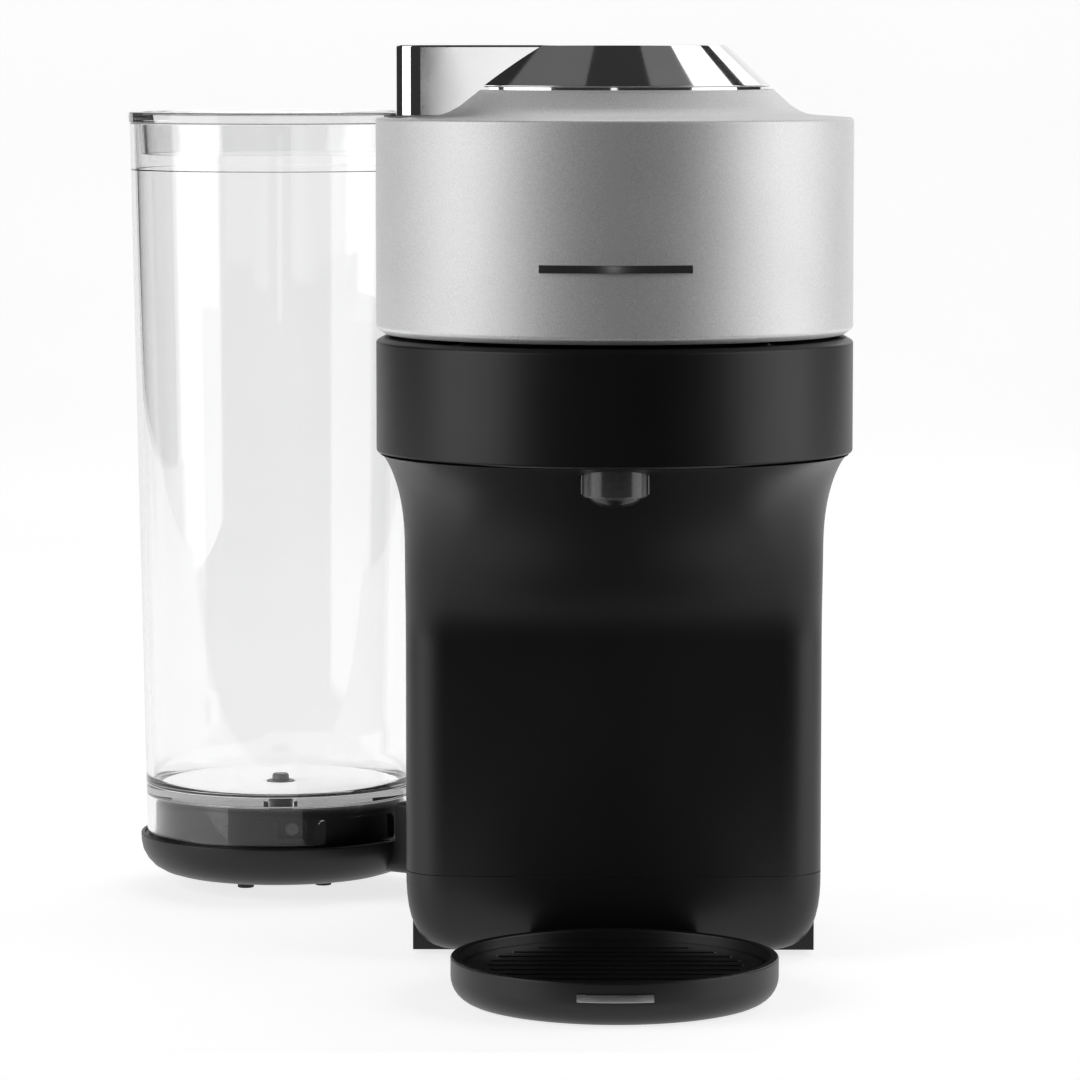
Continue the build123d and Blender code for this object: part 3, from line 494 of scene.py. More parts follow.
class Solid:
    """A mesh under construction, and the ways this machine's pieces are shaped."""

    def __init__(self, bm: bmesh.types.BMesh | None = None) -> None:
        """Starts empty or from a bmesh."""
        self.bm = bm or bmesh.new()

    @classmethod
    def turned(
        cls,
        corners: Sequence[Corner],
        centre: Vector = Vector((0, 0, 0)),
        steps: int = 160,
        sweep: tuple[float, float] | None = None,
    ) -> "Solid":
        """Turns a profile about a vertical axis.

        Args:
            corners: the profile; one that starts and ends on the axis is left open there.
            centre: a point of the axis, in metres.
            steps: divisions of the turn.
            sweep: first and last angle in degrees from +X, for part of a turn.

        Returns:
            The closed solid, with its corners rounded.
        """
        solid = cls()
        bm = solid.bm
        start, end = sweep or (0.0, 360.0)
        verts = [bm.verts.new((c.r * MM, 0, c.z * MM)) for c in corners]
        loop = list(zip(verts, verts[1:]))
        if corners[0].r > 0 or corners[-1].r > 0:
            loop.append((verts[-1], verts[0]))
        edges = [bm.edges.new(pair) for pair in loop]
        bmesh.ops.rotate(
            bm, verts=verts, cent=(0, 0, 0), matrix=Matrix.Rotation(math.radians(start), 3, "Z")
        )
        first_section = list(edges)
        made = bmesh.ops.spin(
            bm,
            geom=verts + edges,
            cent=(0, 0, 0),
            axis=(0, 0, 1),
            angle=math.radians(end - start),
            steps=steps,
            use_merge=sweep is None,
        )
        if sweep is not None:
            last_section = [e for e in made["geom_last"] if isinstance(e, bmesh.types.BMEdge)]
            for section in (first_section, last_section):
                bmesh.ops.holes_fill(bm, edges=section)
        bmesh.ops.remove_doubles(bm, verts=bm.verts, dist=1e-7)
        bmesh.ops.dissolve_degenerate(bm, edges=bm.edges, dist=1e-7)
        bmesh.ops.recalc_face_normals(bm, faces=bm.faces)
        for corner in corners:
            if corner.soft > 0:
                solid.soften_ring(corner)
        bmesh.ops.translate(bm, verts=bm.verts, vec=Vector((centre.x, centre.y, 0)))
        return solid

    def soften_ring(self, corner: Corner) -> None:
        """Rounds off the ring that a profile corner made."""
        tolerance = 1e-5
        ring = [
            edge
            for edge in self.bm.edges
            if all(
                abs(vert.co.xy.length - corner.r * MM) < tolerance
                and abs(vert.co.z - corner.z * MM) < tolerance
                for vert in edge.verts
            )
        ]
        self.bevel(ring, corner.soft, 4)

    def bevel(self, edges: Iterable[bmesh.types.BMEdge], size: float, segments: int = 3) -> None:
        """Rounds edges off by a size in millimetres."""
        bmesh.ops.bevel(
            self.bm,
            geom=list(edges),
            offset=size * MM,
            affect="EDGES",
            segments=segments,
            profile=0.5,
            material=-1,
            clamp_overlap=True,
        )

    @classmethod
    def block(cls, x: tuple[float, float], y: tuple[float, float], z: tuple[float, float]) -> "Solid":
        """A box between (low, high) pairs in millimetres."""
        solid = cls()
        size = [(b - a) * MM for a, b in (x, y, z)]
        middle = [(a + b) / 2 * MM for a, b in (x, y, z)]
        matrix = Matrix.Translation(middle) @ Matrix.Diagonal((*size, 1))
        bmesh.ops.create_cube(solid.bm, size=1, matrix=matrix)
        return solid

    @classmethod
    def rod(cls, start: Sequence[float], end: Sequence[float], radius: float, segments: int = 48) -> "Solid":
        """A round bar between two points in millimetres."""
        solid = cls()
        a, b = Vector(start) * MM, Vector(end) * MM
        turn = (b - a).to_track_quat("Z", "Y").to_matrix().to_4x4()
        bmesh.ops.create_cone(
            solid.bm,
            cap_ends=True,
            segments=segments,
            radius1=radius * MM,
            radius2=radius * MM,
            depth=(b - a).length,
            matrix=Matrix.Translation((a + b) / 2) @ turn,
        )
        return solid

    def along(self, axis: int) -> list[bmesh.types.BMEdge]:
        """Edges that run along one axis: 0 is x, 1 is y and 2 is z."""
        others = [i for i in range(3) if i != axis]
        return [
            e for e in self.bm.edges if all(abs(e.verts[0].co[i] - e.verts[1].co[i]) < 1e-7 for i in others)
        ]

    def upright(self, low_x: float, high_x: float) -> list[bmesh.types.BMEdge]:
        """Vertical edges whose x, in millimetres, lies in a range."""
        return [e for e in self.along(2) if low_x <= e.verts[0].co.x / MM <= high_x]

    def level(self, z: float) -> list[bmesh.types.BMEdge]:
        """Edges that lie at a height in millimetres."""
        return [e for e in self.bm.edges if all(abs(v.co.z - z * MM) < 1e-6 for v in e.verts)]

    def join(self, other: "Solid") -> "Solid":
        """Takes in another solid's mesh."""
        mesh = bpy.data.meshes.new("joined")
        other.bm.to_mesh(mesh)
        self.bm.from_mesh(mesh)
        bpy.data.meshes.remove(mesh)
        return self

    def turn(self, angle: float, pivot: Vector) -> "Solid":
        """Turns the mesh about a vertical axis by an angle in degrees."""
        matrix = Matrix.Rotation(math.radians(angle), 3, "Z")
        bmesh.ops.rotate(self.bm, verts=self.bm.verts, cent=pivot, matrix=matrix)
        return self

    def combine(self, others: Sequence["Solid"], operation: str) -> "Solid":
        """Cuts or joins solids exactly.

        Args:
            others: the tools.
            operation: DIFFERENCE, UNION or INTERSECT.

        Returns:
            This solid, changed.
        """
        body = self._object("blank")
        tools = [other._object("tool") for other in others]
        for tool in tools:
            step = body.modifiers.new("step", "BOOLEAN")
            step.operation = operation
            step.solver = "EXACT"
            step.object = tool
        bpy.context.view_layer.update()
        result = bpy.data.meshes.new_from_object(
            body.evaluated_get(bpy.context.evaluated_depsgraph_get())
        )
        self.bm = bmesh.new()
        self.bm.from_mesh(result)
        for used in [body, *tools]:
            mesh = used.data
            bpy.data.objects.remove(used)
            bpy.data.meshes.remove(mesh)
        bpy.data.meshes.remove(result)
        bmesh.ops.remove_doubles(self.bm, verts=self.bm.verts, dist=2e-6)
        bmesh.ops.dissolve_degenerate(self.bm, edges=self.bm.edges, dist=2e-6)
        return self

    def cut(self, *others: "Solid") -> "Solid":
        """Cuts other solids out."""
        return self.combine(others, "DIFFERENCE")

    def fuse(self, *others: "Solid") -> "Solid":
        """Unites this solid with others."""
        return self.combine(others, "UNION")

    def _object(self, name: str) -> bpy.types.Object:
        """A linked object with this mesh."""
        mesh = bpy.data.meshes.new(name)
        bmesh.ops.recalc_face_normals(self.bm, faces=self.bm.faces)
        self.bm.to_mesh(mesh)
        self.bm.free()
        item = bpy.data.objects.new(name, mesh)
        bpy.context.scene.collection.objects.link(item)
        return item

    def piece(
        self, name: str, finish: Finish, body: str, nodes: Sequence[str] = (), crease: float = 30.0
    ) -> bpy.types.Object:
        """Turns the mesh into a finished piece of the machine.

        Args:
            name: the piece's name.
            finish: what it is dressed in.
            body: the moving body that it rides on.
            nodes: CAD nodes that it stands for.
            crease: angle in degrees above which an edge is drawn sharp.

        Returns:
            The piece.
        """
        item = self._object(name)
        item.data.shade_smooth()
        item.data.set_sharp_from_angle(angle=math.radians(crease))
        item.data.materials.append(finish.material())
        weighted = item.modifiers.new("even_shading", "WEIGHTED_NORMAL")
        weighted.keep_sharp = True
        weighted.weight = 100
        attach(item, body)
        if nodes:
            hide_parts(*nodes)
        LOG.info("%s: %d faces on %s", name, len(item.data.polygons), body)
        return item


def span(node: str) -> tuple[Vector, Vector]:
    """Lowest and highest corner of a CAD node, in millimetres."""
    low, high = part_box(node)
    return low / MM, high / MM


# ---------------------------------------------------------------- the head
@dataclass
class BrewHead:
    """The tilting head: painted shell, chrome crown, lever and button."""

    collar_r: float = 47.6
    deck_drop: float = 7.6
    crown_base: float = 265.8
    crown_top_r: float = 33.1
    channel: float = 25.6
    channel_reach: float = 68.2
    lever_eye_r: float = 21.2
    wall: float = 2.6

    def build(self) -> None:
        """Builds and dresses the head."""
        self.shell()
        self.crown()
        self.lever()
        self.button()
        self.trim()

    def shell(self) -> None:
        """Painted shell: drum, sloping deck and flared collar, with the lever's channel."""
        low, high = span("head_shell")
        radius, bottom, top = high.x, low.z, high.z
        deck = top - self.deck_drop
        flare = [Corner(59.5, deck), Corner(57.2, deck + 0.35), Corner(54.8, deck + 1.25)]
        flare += [Corner(52.2, deck + 2.9), Corner(self.collar_r + 0.1, top - 0.6, 0.5)]
        outer = [
            Corner(radius - 2.4, bottom, 0.25),
            Corner(radius, bottom + 1.8, 0.7),
            Corner(radius, deck - 0.8, 0.9),
        ]
        inner = [
            Corner(45.2, top, 0.2),
            Corner(45.2, top - 2.8),
            Corner(50.4, deck + 0.2),
            Corner(58.4, deck - 2.8),
            Corner(radius - self.wall, deck - 3.5),
            Corner(radius - self.wall, bottom + 2.4),
            Corner(radius - 3.8, bottom),
        ]
        rim = [Corner(self.collar_r - 0.4, top, 0.2)]
        shell = Solid.turned(outer + flare + rim + inner, steps=192)
        channel = Solid.block((-80, 0), (-self.channel, self.channel), (deck - 7, top + 20))
        reach = Solid.turned(
            [Corner(0, deck - 7), Corner(self.channel_reach, deck - 7), Corner(self.channel_reach, top + 20)]
            + [Corner(0, top + 20)]
        )
        notch = Solid.block((-20.5, 20.5), (60, 80), (bottom - 3, 203))
        shell.cut(channel.combine([reach], "INTERSECT"), notch)
        shell.piece("painted_head_shell", Finish.SILVER_SHELL, "head", ["head_shell"], 24)

    def crown(self) -> None:
        """Chrome crown: a cone with the lever's channel cut through its left side."""
        low, high = span("crown")
        top = high.z
        base = self.crown_base
        crown = Solid.turned(
            [
                Corner(high.y - 0.4, base, 0.15),
                Corner(high.y, base + 0.4, 0.2),
                Corner(self.crown_top_r, top, 0.35),
                Corner(self.channel, top, 0.25),
                Corner(self.channel, top - 10),
                Corner(27.6, top - 10),
                Corner(27.6, top - 1.8),
                Corner(32.4, top - 1.8),
                Corner(42.8, base + 0.8),
                Corner(42.8, low.z),
                Corner(44.8, low.z),
                Corner(44.8, base),
            ],
            steps=192,
        )
        crown.cut(Solid.block((-60, 0), (-self.channel, self.channel), (low.z - 5, top + 5)))
        lip = [
            e
            for e in crown.bm.edges
            if all(abs(abs(v.co.y) / MM - self.channel) < 0.02 and v.co.x < -0.02 for v in e.verts)
            and max(v.co.xy.length for v in e.verts) > (self.crown_top_r - 0.3) * MM
            and min(v.co.z for v in e.verts) > (base + 0.3) * MM
            and e.calc_face_angle(0) > 0.4
            and any(abs(f.normal.z) > 0.3 and abs(f.normal.y) < 0.95 for f in e.link_faces)
        ]
        crown.bevel(lip, 3.0, 5)
        crown.piece("chrome_crown", Finish.CHROME, "head", ["crown"], 26)

    def lever(self) -> None:
        """Chrome paddle that lies in the channel."""
        low, high = span("lever")
        lever = Solid.block((low.x, high.x), (low.y, high.y), (low.z, high.z))
        lever.bevel(lever.upright(low.x - 1, low.x + 1), 7.5, 10)
        lever.bevel(lever.upright(high.x - 1, high.x + 1), high.y - 0.02, 40)
        lever.bevel(lever.level(high.z), 0.7, 3)
        ring = [Corner(0, low.z - 5), Corner(26.5, low.z - 5), Corner(26.5, high.z - 10.1)]
        under = Solid.turned(ring + [Corner(0, high.z - 10.1)], steps=96)
        hole = Solid.rod((0, 0, low.z - 5), (0, 0, high.z + 5), self.lever_eye_r, 128)
        lever.cut(under, hole)
        lever.bevel([e for e in lever.level(high.z) if e.calc_face_angle(0) > 1.2], 0.3, 2)
        lever.piece("chrome_lever", Finish.CHROME, "lever", ["lever"], 26)

    def button(self) -> None:
        """Brew button inside its light ring."""
        low, high = span("light_ring")
        inner = 19.4
        ring = [Corner(inner, low.z), Corner(high.x, low.z), Corner(high.x, high.z, 0.3)]
        Solid.turned(ring + [Corner(inner, high.z, 0.3)], steps=128).piece(
            "glowing_ring", Finish.LIGHT_RING, "head", ["light_ring"]
        )
        low, high = span("brew_button")
        cap = [Corner(0, high.z - 0.5), Corner(13.0, high.z - 0.3), Corner(high.x, high.z - 0.1, 0.8)]
        stem = [Corner(high.x, high.z - 6.2, 0.3), Corner(16.5, high.z - 6.2), Corner(16.5, high.z - 2)]
        stem += [Corner(3.0, high.z - 2), Corner(3.0, low.z, 0.4), Corner(0, low.z)]
        Solid.turned(cap + stem, steps=128).piece(
            "brew_button_cap", Finish.BUTTON_CHROME, "button", ["brew_button"]
        )

    def trim(self) -> None:
        """Plain slim bar on the front of the drum."""
        low, high = span("head_trim")
        radius = -low.y
        half = math.degrees(math.asin(high.x / radius))
        bar = [
            Corner(radius - 0.7, low.z),
            Corner(radius, low.z, 0.2),
            Corner(radius, high.z, 0.2),
            Corner(radius - 0.7, high.z),
        ]
        Solid.turned(bar, steps=48, sweep=(-90 - half, -90 + half)).piece(
            "head_trim_bar", Finish.TRIM_STEEL, "head", ["head_trim"]
        )


# ---------------------------------------------------------------- band, column and foot
@dataclass
class Column:
    """Black body: band round the brew chamber, cove, column, foot and base."""

    half: float = COLUMN_HALF
    front: float = 12.0
    front_bow: float = 600.0
    corner: float = 14.0
    wall: float = 2.5
    seam: float = 27.0
    rear_top: float = 187.0
    bay_floor: float = 51.5
    band_inner: float = 71.3
    cove_levels: int = 30
    cove_heights: tuple[float, ...] = (BAND_BOTTOM, 155.6, 130.0, 98.0)
    cove_reach: tuple[float, float] = (-69.6, -36.0)
    foot_rise: float = 24.0
    foot_inset: float = 11.5

    def build(self) -> None:
        """Builds and dresses the body."""
        self.band()
        self.shell()
        self.foot()
        self.base()

    def band(self) -> None:
        """Ring under the head, with the deck and the seal's ridge inside."""
        low, high = span("brew_band")
        radius, bottom, top = high.x, low.z, high.z
        inner = radius - 2.6
        band = Solid.turned(
            [
                Corner(radius - 2.0, top, 0.3),
                Corner(radius, top - 1.2, 0.5),
                Corner(radius, bottom, 1.1),
                Corner(inner, bottom),
                Corner(inner, 184.5),
                Corner(38.4, 184.5),
                Corner(38.4, 190.0, 0.5),
                Corner(46.0, 190.0, 0.5),
                Corner(48.0, 187.0),
                Corner(62.0, 187.0),
                Corner(66.5, 190.4),
                Corner(67.2, top, 0.3),
            ],
            steps=192,
        )
        band.cut(
            Solid.block((-POD_WAY_HALF, POD_WAY_HALF), (28, 68.6), (180, 190.5)),
            Solid.block((-POD_WAY_HALF, POD_WAY_HALF), (50, 75), (158, 184)),
        )
        band.piece("chamber_band", Finish.BLACK_BODY, "body", ["brew_band"], 24)

    def outline(self, half: float, front: float, bow: float, corner: float) -> list[tuple[float, float]]:
        """Closed outline of the column at one height.

        Args:
            half: half its width.
            front: y of the middle of its front.
            bow: radius of the bowed front.
            corner: radius of the front corners.

        Returns:
            Points in millimetres, mirror-symmetric, from the middle of the front round by +X.
        """
        reach, inset = bow - corner, half - corner
        lean = math.asin(inset / reach)
        corner_y = front + bow - reach * math.cos(lean)
        points = [
            (bow * math.sin(lean * i / 16), front + bow - bow * math.cos(lean * i / 16)) for i in range(16)
        ]
        for i in range(17):
            angle = lean - math.pi / 2 + (math.pi / 2 - lean) * i / 16
            points.append((inset + corner * math.cos(angle), corner_y + corner * math.sin(angle)))
        rear, run = self.half, SWIVEL_Y - corner_y
        points += [(half + (rear - half) * i / 10, corner_y + run * i / 10) for i in range(1, 10)]
        points += [
            (rear * math.cos(math.pi / 2 * i / 20), SWIVEL_Y + rear * math.sin(math.pi / 2 * i / 20))
            for i in range(21)
        ]
        return points + [(-x, y) for x, y in reversed(points[1:-1])]

    def cove(self, share: float) -> tuple[float, float, float, float, float]:
        """Section of the cove.

        Args:
            share: 0 at the foot of the cove, 1 under the band.

        Returns:
            Height, half width, front, bow and corner radius, in millimetres.
        """
        t = 1 - share
        weights = (share**3, 3 * share**2 * t, 3 * share * t**2, t**3)
        front = sum(w * p for w, p in zip(weights, (*self.cove_reach, self.front, self.front)))
        height = sum(w * p for w, p in zip(weights, self.cove_heights))
        rise = max(0.0, (height - 126.0) / (BAND_BOTTOM - 126.0))
        half = self.half + (69.6 - self.half) * rise**2.4
        ease = max(0.0, (height - 112.0) / (BAND_BOTTOM - 112.0)) ** 2.0
        bow = 1 / ((1 - ease) / self.front_bow + ease / 78)
        corner = self.corner + (61.5 - self.corner) * ease
        return height, half, front, bow, corner

    def loft(self, sections: Sequence[tuple[float, list[tuple[float, float]]]]) -> Solid:
        """Closed solid through outlines at rising heights."""
        solid = Solid()
        loops = []
        for height, outline in sections:
            verts = [solid.bm.verts.new((x * MM, y * MM, height * MM)) for x, y in outline]
            loops.append([solid.bm.edges.new(p) for p in zip(verts, verts[1:] + verts[:1])])
        for lower, upper in zip(loops, loops[1:]):
            bmesh.ops.bridge_loops(solid.bm, edges=lower + upper)
        for rim in (loops[0], loops[-1]):
            bmesh.ops.holes_fill(solid.bm, edges=rim)
        bmesh.ops.recalc_face_normals(solid.bm, faces=solid.bm.faces)
        return solid

    def stadium(self, half: float, front: float, low: float, high: float) -> Solid:
        """Upright prism: straight sides from a front line, half-round at the rear."""
        block = Solid.block((-half, half), (front, SWIVEL_Y), (low, high))
        axis = Vector((0, SWIVEL_Y * MM, 0))
        ring = [Corner(0, low), Corner(half, low), Corner(half, high), Corner(0, high)]
        return block.fuse(Solid.turned(ring, axis, 128))

    def shell(self) -> None:
        """Column with its cove, the rear that rises past the band, and the bin's bay."""
        sides = (self.half, self.front, self.front_bow, self.corner)
        lower = [(z, self.outline(*sides)) for z in (self.seam, 50, 75)]
        coves = [self.cove(i / self.cove_levels) for i in range(self.cove_levels + 1)]
        upper = [(z, self.outline(half, front, bow, corner)) for z, half, front, bow, corner in coves]
        skin = self.loft(lower + upper)
        thin = self.wall
        inner_sides = (self.half - thin, self.front + thin, self.front_bow, self.corner - thin)
        inner_low = [(z, self.outline(*inner_sides)) for z in (self.seam - 2, 50, 75)]
        inner_up = [
            (z + 2.4, self.outline(half - thin, front + 3.2, bow - thin, corner - thin))
            for z, half, front, bow, corner in coves
        ]
        hollow = self.loft(inner_low + inner_up)
        rise = self.stadium(self.half, self.front, BAND_BOTTOM - 0.01, self.rear_top)
        rise.cut(Solid.rod((0, 0, 150), (0, 0, 190), self.band_inner, 192))
        room = self.half - thin
        attic = Solid.block((-room, room), (self.front, BAY_Y - thin), (150, self.rear_top - thin))
        attic.cut(Solid.rod((0, 0, 140), (0, 0, 190), self.band_inner + thin, 192))
        bay = Solid.block((-80, 80), (BAY_Y, 180), (self.bay_floor, 200))
        skin.cut(hollow)
        under, inset = self.bay_floor - thin, self.half - 0.5
        floor = self.stadium(inset, BAY_Y - thin, under, self.bay_floor)
        floor.cut(Solid.block((-80, 80), (40, BAY_Y - thin), (40, 60)))
        partition = Solid.block((-inset, inset), (BAY_Y - thin, BAY_Y), (under, self.rear_top - 0.5))
        skin.fuse(rise)
        skin.cut(attic, bay)
        skin.fuse(floor, partition)
        skin.cut(
            Solid.block((-POD_WAY_HALF, POD_WAY_HALF), (60, 95), (158, 184)),
            Solid.rod((0, SPOUT_Y, 140), (0, SPOUT_Y, 165), 10.4),
            Solid.rod((0, 150, 40), (0, 175, 40), 5.2),
        )
        skin.piece("column_with_cove", Finish.BLACK_BODY, "body", ["column_shell"], 28)

    def drawn_in(self, inset: float, share: float) -> list[tuple[float, float]]:
        """Outline drawn in by an inset, with a share of it taken off the corners' radius."""
        corner = self.corner - inset * share
        return self.outline(self.half - inset, self.front + inset, self.front_bow, corner)

    def foot(self) -> None:
        """Foot under the seam, drawn in towards the table."""
        bottom = 2.5
        sections = []
        inner = []
        for i in range(11):
            angle = math.pi / 2 * i / 10
            inset = self.foot_inset * (1 - math.sin(angle)) ** 1.25
            height = bottom + self.foot_rise * (1 - math.cos(angle)) * 1.012
            sections.append((height, self.drawn_in(inset, 0.4)))
            inner.append((height + 2.4, self.drawn_in(inset + self.wall, 0.5)))
        foot = self.loft(sections)
        foot.cut(
            self.loft(inner),
            Solid.block((-75, 75), (30.6, 220), (-5, 10.8)),
            Solid.block((-26.2, 26.2), (0, 40), (-5, 9.6)),
            Solid.rod((0, SWIVEL_Y, -5), (0, SWIVEL_Y, 40), self.half + 0.6, 192),
        )
        foot.piece("foot_shell", Finish.BLACK_BODY, "body", ["lower_shell"], 28)

    def base(self) -> None:
        """Feet and the cover over the swivel."""
        feet = Solid()
        for x, y in ((-44, 60), (44, 60), (-34, 136), (34, 136)):
            spot = Vector((x * MM, y * MM, 0))
            pad = [Corner(0, 0.4), Corner(5.6, 0.4), Corner(6.0, 0), Corner(8.0, 0, 0.3)]
            feet.join(Solid.turned(pad + [Corner(8.0, 1.5), Corner(0, 1.5)], spot, 48))
        feet.piece("foot_pads", Finish.RUBBER, "body", ["rubber_feet"])
        low, high = span("swivel_cap")
        axis = Vector((0, SWIVEL_Y * MM, 0))
        cap = [Corner(20, low.z), Corner(high.x, low.z, 0.4), Corner(high.x, high.z, 0.4)]
        cap.append(Corner(20, high.z))
        Solid.turned(cap, axis).piece("swivel_cover", Finish.BLACK_BODY, "body", ["swivel_cap"])


@dataclass
class Spout:
    """Coffee spout and its domed nozzle."""

    y: float = SPOUT_Y

    def build(self) -> None:
        """Builds and dresses the spout."""
        axis = Vector((0, self.y * MM, 0))
        low, high = span("coffee_spout")
        barrel = Solid.turned(
            [
                Corner(9.5, high.z),
                Corner(9.5, low.z + 0.6),
                Corner(9.0, low.z, 0.25),
                Corner(6.6, low.z),
                Corner(6.6, low.z + 4),
                Corner(3.4, low.z + 4),
                Corner(3.4, high.z),
            ],
            axis,
            96,
        )
        ears = Solid.block((-9.95, 9.95), (self.y - 2.5, self.y + 2.5), (low.z + 1, high.z))
        ears.bevel(ears.upright(-12, 12), 0.7, 3)
        ears.cut(Solid.rod((0, self.y, low.z - 5), (0, self.y, high.z + 5), 9.0, 96))
        barrel.fuse(ears).piece("spout_barrel", Finish.SPOUT_GLOSS, "body", ["coffee_spout"], 26)
        low, high = span("spout_nozzle")
        dome = arc((2.6, low.z + 6.2), 6.2, -12, -84, 9)
        nozzle = [Corner(3.0, high.z), Corner(6.4, high.z), Corner(6.4, low.z + 4.9)]
        Solid.turned(nozzle + dome + [Corner(3.0, low.z + 0.1)], axis, 96).piece(
            "spout_tip", Finish.SPOUT_DARK, "body", ["spout_nozzle"]
        )


@dataclass
class DripTray:
    """Round drip tray with a slotted grid."""

    y: float = SPOUT_Y
    slot_reach: float = 38.0
    pitch: float = 7.6

    def build(self) -> None:
        """Builds and dresses the tray."""
        axis = Vector((0, self.y * MM, 0))
        low, high = span("drip_tray")
        radius, top = high.x, high.z
        curve = arc((radius - 7.5, 7.5), 7.5, -90, 0, 10)
        wall = [
            Corner(radius, top, 0.55),
            Corner(radius - 2.7, top, 0.5),
            Corner(radius - 2.9, 8.4),
            Corner(radius - 4.8, 8.4, 0.2),
            Corner(radius - 4.8, 4.2, 1.0),
            Corner(radius - 7.0, 2.4, 0.8),
            Corner(0, 2.4),
        ]
        tray = Solid.turned([Corner(0, 0)] + curve + wall, axis, 192)
        tongue = Solid.block((-25.5, 25.5), (self.y + 20, 29.5), (0, 9))
        tongue.bevel(tongue.upright(-30, 30), 3.0, 4)
        tongue.cut(
            Solid.rod((0, self.y, -5), (0, self.y, 20), radius - 2.0, 128),
            Solid.block((-22.5, 22.5), (self.y + 52, 26.5), (2.4, 20)),
        )
        tray.fuse(tongue).piece("tray_dish", Finish.BLACK_BODY, "tray", ["drip_tray"], 26)
        self.grid(axis)
        self.trim(axis)

    def grid(self, axis: Vector) -> None:
        """Grid of the tray, with its slots."""
        low, high = span("drip_grid")
        plate = [Corner(0, low.z), Corner(high.x, low.z), Corner(high.x, high.z, 0.5), Corner(0, high.z)]
        grid = Solid.turned(plate, axis, 160)
        slots = []
        for row in range(-4, 5):
            offset = row * self.pitch
            half = math.sqrt(self.slot_reach**2 - offset**2)
            slot = Solid.block((-half, half), (self.y + offset - 1.2, self.y + offset + 1.2), (0, 20))
            slot.bevel(slot.upright(-50, 50), 1.15, 5)
            slots.append(slot)
        grid.cut(*slots)
        rims = [e for e in grid.level(high.z) if e.calc_face_angle(0) > 1.2]
        grid.bevel(rims, 0.25, 2)
        grid.piece("tray_grid", Finish.GRID_GLOSS, "grid", ["drip_grid"], 30)

    def trim(self, axis: Vector) -> None:
        """Plain slim bar on the front of the tray."""
        low, high = span("tray_trim")
        radius = self.y - low.y
        half = math.degrees(math.asin(high.x / radius))
        bar = [
            Corner(radius - 0.5, 7.6),
            Corner(radius, 7.6, 0.2),
            Corner(radius, high.z - 0.1, 0.2),
            Corner(radius - 0.5, high.z - 0.1),
        ]
        Solid.turned(bar, axis, 24, (-90 - half, -90 + half)).piece(
            "tray_trim_bar", Finish.TRIM_STEEL, "tray", ["tray_trim"]
        )


